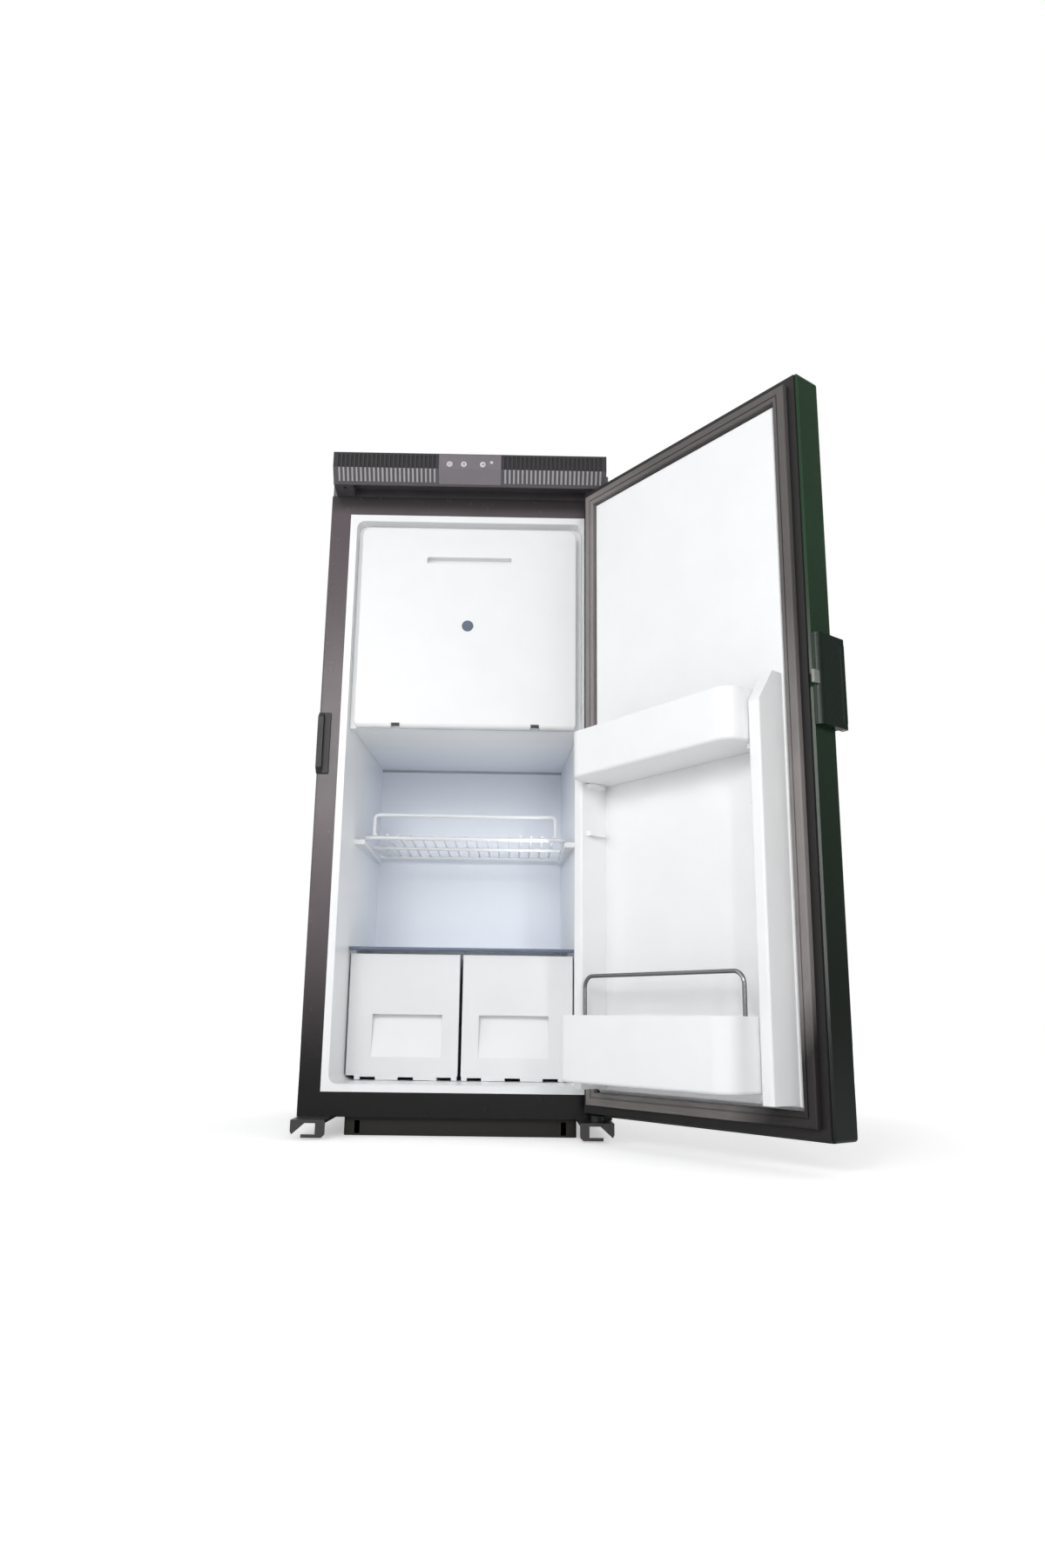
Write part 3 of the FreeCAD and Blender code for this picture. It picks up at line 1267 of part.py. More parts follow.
def build_bracket(label, side):
    body = new_body(label)
    outer = "(cab_width / 2 - bracket_out)"
    inner = f"({outer} - bracket_width)"

    def across(text):
        return f"{side} * ({text})"

    low = "bracket_top - bracket_thick"
    plate = rectangle((across(inner), "front - bracket_front"), (across(outer), "front + bracket_back"))
    pad(body, sketch(body, "XY_Plane", low, plate), "bracket_thick")
    toe = "bracket_thick"
    foot_low = "bracket_thick / 2"
    foot_top = f"({foot_low} + {toe})"
    foot_end = f"{inner} + bracket_leg + bracket_foot"
    hook = [
        (across(inner), "bracket_top"), (across(inner), foot_top), (across(f"{inner} + {toe}"), foot_low),
        (across(foot_end), foot_low), (across(foot_end), foot_top),
        (across(f"{inner} + bracket_leg"), foot_top), (across(f"{inner} + bracket_leg"), low),
        (across(f"{outer} - bracket_wing"), low),
        (across(f"{outer} - {toe} / 2"), foot_top), (across(outer), f"{foot_top} + {toe}"),
        (across(outer), "bracket_top"),
    ]
    pad(body, sketch(body, "XZ_Plane", "front - bracket_front", hook), "bracket_thick")
    holes = [(across("pivot_x"), "pivot_y", "pin_size")]
    screws = bracket_screws(side)
    holes += [(x, y, "screw_size") for x, y in screws]
    pocket(body, sketch(body, "XY_Plane", "bracket_top", *holes), "bracket_thick")


def bracket_screws(side):
    middle = f"{side} * (cab_width / 2 - bracket_out - bracket_width / 2)"
    return [(middle, "front + bracket_back / 3"), (middle, "front + 4 * bracket_back / 5")]


def build_hinge():
    build_bracket("hinge_bracket_left", -1)
    build_bracket("hinge_bracket_right", 1)
    low = "bracket_top - bracket_thick"
    axis = ("pivot_x", "pivot_y")
    lower = rod("hinge_pin_bottom", "z", "pin_size", (*axis, low), f"door_low + pin_reach - ({low})")
    node(lower, "hinge_pin_bottom")
    upper = rod("hinge_pin_top", "z", "pin_size", (*axis, "door_high - pin_reach"),
                "frame_top + pin_reach - (door_high - pin_reach)")
    node(upper, "hinge_pin_top")
    body = new_body("hinge_spacer")
    rings = [(*axis, "spacer_size"), (*axis, "pin_size")]
    pad(body, sketch(body, "XY_Plane", "bracket_top", *rings), "door_lift - rest_gap")
    screws = []
    for side in (-1, 1):
        for count, (x, y) in enumerate(bracket_screws(side)):
            name = f"screw_{side + 1}_{count}"
            shank = rod(name + "_shank", "z", "screw_size", (x, y, low), "bracket_thick")
            head = doc.addObject("Part::Cone", name + "_head")
            bind(head, Radius1="screw_size / 2", Radius2="screw_head / 2", Height="screw_size / 2")
            put(head, x, y, f"{low} - screw_size / 2")
            screws.append(fuse(name, shank, head))
    group = doc.addObject("Part::Compound", "bracket_screws")
    group.Links = screws
    node(group, "bracket_screws")


# Machine room behind the lower cavity

def build_machine_room():
    half = "cab_width / 2 - steel"
    tray = box("machine_tray", (f"-({half})", "niche_front", "base_height"),
               (half, "front + cab_depth - steel", "tray_top"))
    node(tray, "machine_tray")
    build_compressor()
    build_fan()
    build_condenser()
    body = new_body("control_module")
    x_low = "module_x - module_width / 2"
    y_low = "front + cab_depth - 2 * module_depth"
    plan = rectangle((x_low, y_low), ("module_x + module_width / 2", f"{y_low} + module_depth"))
    pad(body, sketch(body, "XY_Plane", "tray_top", plan), "module_height")
    fillet(body, "base_slot / 2", runs_along("z"))
    rib = rectangle((f"{x_low} + module_width / 10", f"{y_low} + module_depth - module_depth / 5"),
                    (f"{x_low} + module_width / 10 + module_width / 20", f"{y_low} + module_depth"))
    groove = pocket(body, sketch(body, "XY_Plane", "tray_top + module_height", rib), "module_height / 2")
    pattern(body, "LinearPattern", groove, Direction=(groove.Profile[0], ["H_Axis"]),
            Length="module_width * 0.7", Occurrences=int(size("module_fins")))

    body = new_body("terminal_block")
    x_mid = "module_x"
    face = f"{y_low} + module_depth"
    block_low = "tray_top + module_height / 8"
    plan = rectangle((f"{x_mid} - block_width / 2", face),
                     (f"{x_mid} + block_width / 2", f"{face} + block_depth"))
    pad(body, sketch(body, "XY_Plane", block_low, plan), "block_height")
    entry_z = f"{block_low} + block_height / 2"
    holes = [(f"{x_mid} + {side} * block_width / 4", entry_z, "block_height / 3") for side in (-1, 1)]
    pocket(body, sketch(body, "XZ_Plane", f"{face} + block_depth", *holes), "block_depth / 2", back=True)


def build_compressor():
    body = new_body("compressor")
    radius = "pump_size / 2"
    seam = "pump_height * 0.45"
    edge = "foot_thick"
    profile = [
        ("0", "foot_thick"), (f"{radius} * 0.78", "foot_thick"), (f"{radius} * 0.96", "pump_height * 0.18"),
        (f"{radius} * 0.96", seam), (radius, seam), (radius, f"{seam} + {edge}"),
        (f"{radius} * 0.95", f"{seam} + {edge}"), (f"{radius} * 0.92", "pump_height * 0.78"),
        (f"{radius} * 0.6", "pump_height * 0.96"), ("0", "pump_height"),
    ]
    shape = sketch(body, "XZ_Plane", "0", profile)
    revolve(body, shape)
    plate = rectangle(("-foot_span / 2 - mount_size / 2", "-foot_run / 2 - mount_size / 2"),
                      ("foot_span / 2 + mount_size / 2", "foot_run / 2 + mount_size / 2"))
    pad(body, sketch(body, "XY_Plane", "0", plate), "foot_thick")
    put(body, "pump_x", "pump_place", "pump_base")

    mounts = []
    for i in (-1, 1):
        for j in (-1, 1):
            place = (f"pump_x + {i} * foot_span / 2", f"pump_place + {j} * foot_run / 2", "tray_top")
            mounts.append(rod(f"mount_{i + 1}{j + 1}", "z", "mount_size", place, "mount_height"))
    group = doc.addObject("Part::Compound", "compressor_mounts")
    group.Links = mounts
    node(group, "compressor_mounts")

    body = new_body("drip_tray")
    floor = "pump_base + pump_height"
    low = ("pump_x - drip_size / 2", "pump_place - drip_size / 2")
    high = ("pump_x + drip_size / 2", "pump_place + drip_size / 2")
    pad(body, sketch(body, "XY_Plane", floor, rectangle(low, high)), "drip_height")
    fillet(body, "drip_height / 3", runs_along("z"))
    hollow(body, "drip_wall", on_side("ZMax"))


def build_fan():
    body = new_body("fan_frame")
    half = "fan_size / 2"
    square = rectangle((f"fan_x - {half}", f"fan_z - {half}"), (f"fan_x + {half}", f"fan_z + {half}"))
    bore = ("fan_x", "fan_z", "fan_bore")
    pad(body, sketch(body, "XZ_Plane", "fan_front", square, bore), "fan_depth", back=True)
    fillet(body, "fan_play", every(runs_along("y"), either(on_side("XMin"), on_side("XMax"))))
    reach = f"({half} - fan_play)"
    for across, along in ((reach, "fan_play"), ("fan_play", reach)):
        spoke = rectangle((f"fan_x - {across}", f"fan_z - {along}"),
                          (f"fan_x + {across}", f"fan_z + {along}"))
        pad(body, sketch(body, "XZ_Plane", "fan_front", spoke), "fan_play", back=True)
    axle = ("fan_x", "fan_z", "axle_size")
    pad(body, sketch(body, "XZ_Plane", "fan_front", axle), "fan_depth * 0.8", back=True)

    body = new_body("fan_rotor")
    hub_front = "2 * fan_play"
    hub = [("0", "0", "hub_size"), ("0", "0", "axle_size + 2 * pin_play")]
    pad(body, sketch(body, "XZ_Plane", hub_front, *hub), "fan_depth - 4 * fan_play", back=True)
    blade = rectangle(("-fan_depth / 3", "hub_size / 2 - fan_play / 2"),
                      ("fan_depth / 3", "fan_bore / 2 - fan_play"))
    profile = sketch(body, "XZ_Plane", "fan_depth / 2", blade)
    turned = Rotation(Vector(0, 1, 0), size("blade_pitch"))
    profile.AttachmentOffset = Placement(profile.AttachmentOffset.Base, turned)
    original = pad(body, profile, "fan_play / 1.4", both=True)
    pattern(body, "PolarPattern", original, Axis=(hub_axis(body), [""]), Angle="360",
            Occurrences=int(size("blade_count")))
    put(body, "fan_x", "fan_front", "fan_z")


def hub_axis(body):
    return next(f for f in body.Origin.OriginFeatures if f.Role == "Y_Axis")


def build_condenser():
    """A tube bent to and fro behind the back panel, with upright fin wires on both faces."""
    tube = size("coil_tube")
    wire = size("coil_wire")
    pitch = size("coil_pitch")
    runs = int(size("coil_runs"))
    half = size("coil_width / 2")
    low = size("coil_low")
    y = size("coil_y")
    points = [Vector(-half, y, low)]
    for run in range(runs):
        side = 1 if run % 2 == 0 else -1
        level = low + pitch * run
        points.append(Vector(side * half, y, level))
        if run < runs - 1:
            points.append(Vector(side * half, y, level + pitch))
    pieces = [bent_wire(points, tube, size("coil_pitch * 0.42"))]
    count = int(size("coil_wires"))
    reach = half - pitch
    top = low + pitch * (runs - 1)
    for i in range(count):
        x = -reach + 2 * reach * i / (count - 1)
        face = y + (1 if i % 2 else -1) * (tube + wire) / 2
        pieces.append(straight_wire(Vector(x, face, low - tube), Vector(x, face, top + tube), wire))
    freeform("condenser", Part.makeCompound(pieces))

    straps = []
    foot = "box_back + steel"
    face = "coil_y - coil_tube / 2"
    strap_low = "coil_low - coil_tube"
    strap_high = "coil_low + coil_pitch * (coil_runs - 1) + coil_tube"
    for side in (-1, 1):
        place = f"{side} * (coil_width / 2 - coil_pitch * 0.75)"
        ends = (f"{place} - strap_width / 2", f"{place} + strap_width / 2")
        name = f"strap_{side + 1}"
        strip = box(name + "_strip", (ends[0], f"{face} - tray_thick", strap_low),
                    (ends[1], face, strap_high))
        legs = [box(f"{name}_leg_{count}", (ends[0], foot, level), (ends[1], face, f"{level} + tray_thick"))
                for count, level in enumerate((strap_low, f"{strap_high} - tray_thick"))]
        straps.append(fuse(name, strip, *legs))
    group = doc.addObject("Part::Compound", "condenser_straps")
    group.Links = straps
    node(group, "condenser_straps")


def build_pipes():
    """Tubes from the compressor to the condenser, through the drier to the box, and back from the box."""
    tube = size("pipe_size")
    bend = 2 * tube
    half = size("coil_width / 2")
    y_coil = size("coil_y")
    low = size("coil_low")
    top = size("coil_low + coil_pitch * (coil_runs - 1)")
    ceiling = size("niche_top")
    y_in = size("box_back") - 1.5 * bend
    x_pump = size("pump_x")
    y_pump = size("pump_place")
    can = size("pump_size / 2 * 0.96")
    z_pump = size("pump_base + pump_height * 0.3")
    x_side = half + 1.5 * bend
    drier_top = low - 2 * bend
    drier_low = drier_top - size("drier_length")
    rise = low - 2 * bend
    drop = ceiling - 2 * bend
    discharge = [Vector(x_pump - can, y_pump, z_pump), Vector(-x_side, y_pump, z_pump),
                 Vector(-x_side, y_pump, rise), Vector(-x_side, y_coil, low), Vector(-half, y_coil, low)]
    liquid = [Vector(half, y_coil, top), Vector(x_side, y_coil, top), Vector(x_side, y_coil, drier_top)]
    feed = [Vector(x_side, y_coil, drier_low), Vector(x_side, y_coil, drop),
            Vector(x_side, y_in, drop), Vector(x_side, y_in, ceiling)]
    x_back = x_pump + can + 2 * bend
    suction = [Vector(x_back, y_in, ceiling), Vector(x_back, y_in, z_pump), Vector(x_back, y_pump, z_pump),
               Vector(x_pump + can, y_pump, z_pump)]
    runs = [bent_wire(path, tube, bend) for path in (discharge, liquid, feed, suction)]
    freeform("refrigerant_pipes", Part.makeCompound(runs))

    body = new_body("drier")
    neck = "pipe_size / 2"
    profile = [
        ("0", "0"), (neck, "0"), ("drier_size / 2", "drier_size / 2"),
        ("drier_size / 2", "drier_length - drier_size / 2"), (neck, "drier_length"), ("0", "drier_length"),
    ]
    revolve(body, sketch(body, "XZ_Plane", "0", profile))
    put(body, "coil_width / 2 + 3 * pipe_size", "coil_y", "coil_low - 4 * pipe_size - drier_length")


def build_all():
    build_base()
    build_casing()
    build_liner()
    build_foam()
    build_frame()
    build_vent()
    build_controls()
    build_freezer()
    build_shelf()
    build_crispers()
    build_door()
    build_bins()
    build_latch()
    build_hinge()
    build_machine_room()
    build_pipes()


def check_and_export():
    doc.recompute()
    for item in doc.Objects:
        if any(word in item.State for word in ("Invalid", "Error")):
            raise RuntimeError(f"{item.Label} failed: {item.State}")
    os.makedirs("parts", exist_ok=True)
    for item in NODES:
        shape = item.Shape
        if shape.isNull() or not shape.isValid() or not shape.Solids:
            raise RuntimeError(f"{item.Label} has no valid solid")
        shape.exportStep(f"parts/{item.Label}.step")
    print(len(NODES), "nodes")


build_all()
check_and_export()
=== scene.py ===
import math

import bmesh
import bpy
from mathutils import Matrix, Vector


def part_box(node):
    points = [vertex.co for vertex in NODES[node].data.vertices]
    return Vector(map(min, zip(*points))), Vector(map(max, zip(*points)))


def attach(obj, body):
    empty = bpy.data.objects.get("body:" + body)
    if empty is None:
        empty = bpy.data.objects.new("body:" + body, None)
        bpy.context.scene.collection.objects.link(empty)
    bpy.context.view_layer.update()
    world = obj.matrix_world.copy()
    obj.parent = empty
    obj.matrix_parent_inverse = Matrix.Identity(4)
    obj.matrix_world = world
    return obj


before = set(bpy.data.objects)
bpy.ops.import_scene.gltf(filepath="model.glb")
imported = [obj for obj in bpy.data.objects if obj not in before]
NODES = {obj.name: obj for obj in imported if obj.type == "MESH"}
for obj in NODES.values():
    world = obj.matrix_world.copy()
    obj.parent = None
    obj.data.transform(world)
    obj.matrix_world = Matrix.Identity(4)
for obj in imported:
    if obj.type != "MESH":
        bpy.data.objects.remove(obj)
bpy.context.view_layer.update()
MM = 0.001
WHITE = (1, 1, 1, 1)


# Camera: low in front of the cabinet, looking a little up

# The photograph's height and focal length, in pixels
PHOTO_HEIGHT = 1800
FOCAL_PIXELS = 1195.84
SENSOR = 36.0
NEAREST = 0.01
CAMERA_PLACE = Vector((0.0704, -1.6834, 0.1516))
CAMERA_TILT = math.radians(12.798)
CAMERA_YAW = math.radians(0.554)
CAMERA_ROLL = math.radians(0.770)


def add_camera():
    right = Vector((math.cos(CAMERA_YAW), -math.sin(CAMERA_YAW), 0))
    level = Vector((math.sin(CAMERA_YAW), math.cos(CAMERA_YAW), 0))
    upright = Vector((0, 0, 1))
    ahead = level * math.cos(CAMERA_TILT) + upright * math.sin(CAMERA_TILT)
    above = upright * math.cos(CAMERA_TILT) - level * math.sin(CAMERA_TILT)
    side = right * math.cos(CAMERA_ROLL) + above * math.sin(CAMERA_ROLL)
    top = above * math.cos(CAMERA_ROLL) - right * math.sin(CAMERA_ROLL)
    data = bpy.data.cameras.new("camera")
    data.sensor_width = SENSOR
    data.lens = FOCAL_PIXELS * SENSOR / PHOTO_HEIGHT
    data.clip_start = NEAREST
    camera = bpy.data.objects.new("camera", data)
    turn = Matrix((side, top, -ahead)).transposed().to_4x4()
    camera.matrix_world = Matrix.Translation(CAMERA_PLACE) @ turn
    bpy.context.scene.collection.objects.link(camera)
    bpy.context.scene.camera = camera


# Studio: white surroundings, soft lamps and a pale floor

# The surroundings' level as a light, and the dark flag: where it starts and ends, and its level
ROOM_LEVEL = 0.4
FLAG_START = 0.45
FLAG_END = 0.85
FLAG_LEVEL = 0.3

# The floor's half width, its drop under the object, its glow, and where the glow fades to full white
FLOOR_REACH = 6.0
FLOOR_DROP = 0.5 * MM
FLOOR_GREY = (0.9, 0.9, 0.9, 1)
FLOOR_GLOW = 0.42
FADE_START = 0.5
FADE_END = 1.6

# Each lamp's place, the point it looks at, its two sides in metres and its power in watts
LAMPS = {
    "front": ((-0.4, -2.0, 0.9), (0.0, 0.0, 0.5), (1.4, 0.5), 6.4),
    "key": ((-2.2, -1.4, 1.2), (0.2, -0.3, 0.5), (1.6, 1.4), 13),
    "cavity": ((0.12, -0.14, 0.36), (-0.17, -0.02, 0.4), (0.1, 0.1), 0.14),
    "strip": ((-0.64, -2.6, 1.2), (-0.2, -0.23, 0.5), (0.4, 0.6), 9.6),
    "rim": ((0.5, -2.6, 0.75), (0.43, -0.57, 0.4), (0.14, 1.1), 7),
    "rear": ((0.4, 2.2, 2.0), (0, 0, 0.5), (1.6, 1.2), 20),
}


def seen_white(tree, strength, others):
    """White for the camera and the other named rays, and a dimmer level that lights the object."""
    path = tree.nodes.new("ShaderNodeLightPath")
    seen = path.outputs["Is Camera Ray"]
    for name in others:
        both = tree.nodes.new("ShaderNodeMath")
        both.operation = "MAXIMUM"
        tree.links.new(seen, both.inputs[0])
        tree.links.new(path.outputs[name], both.inputs[1])
        seen = both.outputs[0]
    level = tree.nodes.new("ShaderNodeMapRange")
    tree.links.new(seen, level.inputs["Value"])
    level.inputs["To Min"].default_value = strength
    level.inputs["To Max"].default_value = 1.0
    return level.outputs["Result"]


def flagged(tree):
    """A dark flag on the right that only mirrors see: 1 elsewhere, less towards +X in reflections."""
    where = tree.nodes.new("ShaderNodeTexCoord")
    split = tree.nodes.new("ShaderNodeSeparateXYZ")
    tree.links.new(where.outputs["Generated"], split.inputs["Vector"])
    share = tree.nodes.new("ShaderNodeMapRange")
    share.interpolation_type = "SMOOTHSTEP"
    share.inputs["From Min"].default_value = FLAG_START
    share.inputs["From Max"].default_value = FLAG_END
    tree.links.new(split.outputs["X"], share.inputs["Value"])
    path = tree.nodes.new("ShaderNodeLightPath")
    both = tree.nodes.new("ShaderNodeMath")
    both.operation = "MULTIPLY"
    tree.links.new(share.outputs["Result"], both.inputs[0])
    tree.links.new(path.outputs["Is Glossy Ray"], both.inputs[1])
    level = tree.nodes.new("ShaderNodeMapRange")
    level.inputs["To Min"].default_value = 1.0
    level.inputs["To Max"].default_value = FLAG_LEVEL
    tree.links.new(both.outputs[0], level.inputs["Value"])
    return level.outputs["Result"]


def add_world():
    world = bpy.data.worlds.new("studio")
    world.use_nodes = True
    tree = world.node_tree
    back = tree.nodes["Background"]
    back.inputs["Color"].default_value = WHITE
    level = tree.nodes.new("ShaderNodeMath")
    level.operation = "MULTIPLY"
    room = seen_white(tree, ROOM_LEVEL, ("Is Glossy Ray", "Is Transmission Ray"))
    tree.links.new(room, level.inputs[0])
    tree.links.new(flagged(tree), level.inputs[1])
    tree.links.new(level.outputs[0], back.inputs["Strength"])
    bpy.context.scene.world = world


def add_lamp(name, place, target, size, power):
    data = bpy.data.lights.new(name, "AREA")
    data.shape = "RECTANGLE"
    data.size, data.size_y = size
    data.energy = power
    lamp = bpy.data.objects.new(name, data)
    lamp.location = place
    lamp.rotation_euler = (Vector(target) - Vector(place)).to_track_quat("-Z", "Y").to_euler()
    lamp.visible_camera = False
    bpy.context.scene.collection.objects.link(lamp)


def floor_glow(tree):
    """The floor's own light: little round the object, full white far from it, and none that lights."""
    where = tree.nodes.new("ShaderNodeTexCoord")
    far = tree.nodes.new("ShaderNodeVectorMath")
    far.operation = "LENGTH"
    tree.links.new(where.outputs["Object"], far.inputs[0])
    fade = tree.nodes.new("ShaderNodeMapRange")
    fade.interpolation_type = "SMOOTHSTEP"
    tree.links.new(far.outputs["Value"], fade.inputs["Value"])
    fade.inputs["From Min"].default_value = FADE_START
    fade.inputs["From Max"].default_value = FADE_END
    fade.inputs["To Min"].default_value = FLOOR_GLOW
    fade.inputs["To Max"].default_value = 1.0
    glow = tree.nodes.new("ShaderNodeMath")
    glow.operation = "MULTIPLY"
    tree.links.new(fade.outputs["Result"], glow.inputs[0])
    tree.links.new(seen_white(tree, 0.0, ("Is Transmission Ray",)), glow.inputs[1])
    return glow.outputs[0]


def floor_material():
    material = bpy.data.materials.new("floor")
    material.use_nodes = True
    tree = material.node_tree
    shader = tree.nodes["Principled BSDF"]
    shader.inputs["Base Color"].default_value = FLOOR_GREY
    shader.inputs["Roughness"].default_value = 0.8
    shader.inputs["Specular IOR Level"].default_value = 0.1
    shader.inputs["Emission Color"].default_value = WHITE
    tree.links.new(floor_glow(tree), shader.inputs["Emission Strength"])
    return material


def add_floor():
    """A pale floor that fades into the white surroundings and keeps the object's soft shadow."""
    mesh = bpy.data.meshes.new("floor")
    reach = FLOOR_REACH
    corners = [(-reach, -reach, 0), (reach, -reach, 0), (reach, reach, 0), (-reach, reach, 0)]
    mesh.from_pydata(corners, [], [(0, 1, 2, 3)])
    floor = bpy.data.objects.new("floor", mesh)
    floor.location.z = -FLOOR_DROP
    bpy.context.scene.collection.objects.link(floor)
    mesh.materials.append(floor_material())


def light_studio():
    add_world()
    for name, setting in LAMPS.items():
        add_lamp(name, *setting)


# Materials: all colours are as read from a photograph, 0 to 255

# Where a surface's colour drift has its two stops, and how far its gloss strays
DRIFT = (0.3, 0.7)
STRAY = (0.85, 1.15)

# A smooth moulding: hardly any drift and a fine, shallow grain
SMOOTH = {"vary": 0.012, "grain": 1200, "depth": 0.03, "shine": 0.3}

# The door stands open: the way its inner face looks, and how far out the gasket's flange lies that way; the
# flange, which lies less far out, gets painted shade as in a groove
SWING = math.radians(127)
DOOR_FACING = Vector((-math.sin(SWING), math.cos(SWING), 0))
HINGE = Vector((0.187, -0.2615, 0))
FLANGE_HEIGHT = 15.5 * MM + 3.4 * MM
SEAL_FLANGE = HINGE.dot(DOOR_FACING) + FLANGE_HEIGHT

# The ways to the gasket's free corners, the level along each where its painted shade starts, and over what
# length
UPPER_CORNER = Vector((2, 0, 1))
UPPER_LEVEL = 1.2
UPPER_FADE = 0.2
LOWER_CORNER = Vector((2, 0, -1))
LOWER_LEVEL = 0.58
LOWER_FADE = 0.07

# Where the painted shade and light start and are full: depths and heights in metres, and the lean of faces
# that look down, which get painted light
LINER_SHADE_DEPTHS = (-0.17, 0.06)
FRAME_FOOT_SHADE = (0.3, 0.06)
FRAME_HEAD_SHADOW = (0.893, 0.914)
DOOR_SHADE_HEIGHTS = (0.8, 0.1)
UNDERSIDE_LIGHT_LEAN = (-0.2, -0.35)


def shade(colour, factor):
    return tuple(min(1.0, part * factor) for part in colour) + (1,)


def linear(red, green, blue):
    """Colour as read from a photograph, 0 to 255, to scene values."""
    def channel(value):
        share = value / 255
        return share / 12.92 if share <= 0.04045 else ((share + 0.055) / 1.055) ** 2.4
    return tuple(channel(value) for value in (red, green, blue))


def surface(name, seen, rough, metal=0.0, vary=0.06, mottle=18.0, grain=900.0, depth=0.05, shine=0.5):
    """A moulded or painted surface: colour that drifts a little, uneven gloss and a fine grain."""
    colour = linear(*seen)
    material = bpy.data.materials.new(name)
    material.use_nodes = True
    tree = material.node_tree
    shader = tree.nodes["Principled BSDF"]
    shader.inputs["Metallic"].default_value = metal
    shader.inputs["Specular IOR Level"].default_value = shine
    where = tree.nodes.new("ShaderNodeTexCoord")

    def noise(scale, detail):
        item = tree.nodes.new("ShaderNodeTexNoise")
        item.inputs["Scale"].default_value = scale
        item.inputs["Detail"].default_value = detail
        tree.links.new(where.outputs["Object"], item.inputs["Vector"])
        return item.outputs["Fac"]

    ramp = tree.nodes.new("ShaderNodeValToRGB")
    for stop, place, factor in zip(ramp.color_ramp.elements, DRIFT, (1 - vary, 1 + vary)):
        stop.position = place
        stop.color = shade(colour, factor)
    tree.links.new(noise(mottle, detail=4), ramp.inputs["Fac"])
    tree.links.new(ramp.outputs["Color"], shader.inputs["Base Color"])
    gloss = tree.nodes.new("ShaderNodeMapRange")
    gloss.inputs["To Min"].default_value = rough * STRAY[0]
    gloss.inputs["To Max"].default_value = min(1.0, rough * STRAY[1])
    tree.links.new(noise(mottle * 3, detail=6), gloss.inputs["Value"])
    tree.links.new(gloss.outputs["Result"], shader.inputs["Roughness"])
    bump = tree.nodes.new("ShaderNodeBump")
    bump.inputs["Strength"].default_value = depth
    bump.inputs["Distance"].default_value = MM
    tree.links.new(noise(grain, detail=3), bump.inputs["Height"])
    tree.links.new(bump.outputs["Normal"], shader.inputs["Normal"])
    return material


def glass(name, seen, rough):
    """A clear toughened sheet with a faint tint and slight waviness."""
    material = surface(name, seen, rough, vary=0.02, grain=120.0, depth=0.02)
    shader = material.node_tree.nodes["Principled BSDF"]
    shader.inputs["Transmission Weight"].default_value = 0.85
    shader.inputs["IOR"].default_value = 1.5
    return material


def mix_in(material, share, tint):
    """Let a surface's colour go over to a tint by a share that varies over the surface."""
    tree = material.node_tree
    shader = tree.nodes["Principled BSDF"]
    plain = shader.inputs["Base Color"].links[0].from_socket
    mix = tree.nodes.new("ShaderNodeMix")
    mix.data_type = "RGBA"
    tree.links.new(share, mix.inputs["Factor"])
    tree.links.new(plain, mix.inputs["A"])
    mix.inputs["B"].default_value = linear(*tint) + (1,)
    tree.links.new(mix.outputs["Result"], shader.inputs["Base Color"])


def share_of(material, source, axis, span):
    """How far a coordinate has gone over a span, 0 to 1, over the surface."""
    tree = material.node_tree
    split = tree.nodes.new("ShaderNodeSeparateXYZ")
    tree.links.new(source, split.inputs["Vector"])
    share = tree.nodes.new("ShaderNodeMapRange")
    share.interpolation_type = "SMOOTHSTEP"
    share.inputs["From Min"].default_value = span[0]
    share.inputs["From Max"].default_value = span[1]
    tree.links.new(split.outputs[axis], share.inputs["Value"])
    return share.outputs["Result"]


def painted_shade_along(material, axis, span, tint):
    """Painted shade that comes in along one axis of the object, over a span in metres."""
    where = material.node_tree.nodes.new("ShaderNodeTexCoord")
    mix_in(material, share_of(material, where.outputs["Object"], axis, span), tint)


def painted_light_below(material, tint):
    """Painted light on the faces that lean towards the floor, as if they were lit from below."""
    facing = material.node_tree.nodes.new("ShaderNodeNewGeometry")
    mix_in(material, share_of(material, facing.outputs["True Normal"], "Z", UNDERSIDE_LIGHT_LEAN), tint)


def painted_shade_towards(material, facing, level, fade, tint):
    """Painted shade below one level along a direction, in metres from the origin, that comes in over a
    length.
    """
    tree = material.node_tree
    where = tree.nodes.new("ShaderNodeTexCoord")
    height = tree.nodes.new("ShaderNodeVectorMath")
    height.operation = "DOT_PRODUCT"
    height.inputs[1].default_value = facing
    tree.links.new(where.outputs["Object"], height.inputs[0])
    share = tree.nodes.new("ShaderNodeMapRange")
    share.inputs["From Min"].default_value = level
    share.inputs["From Max"].default_value = level - fade
    tree.links.new(height.outputs["Value"], share.inputs["Value"])
    mix_in(material, share.outputs["Result"], tint)


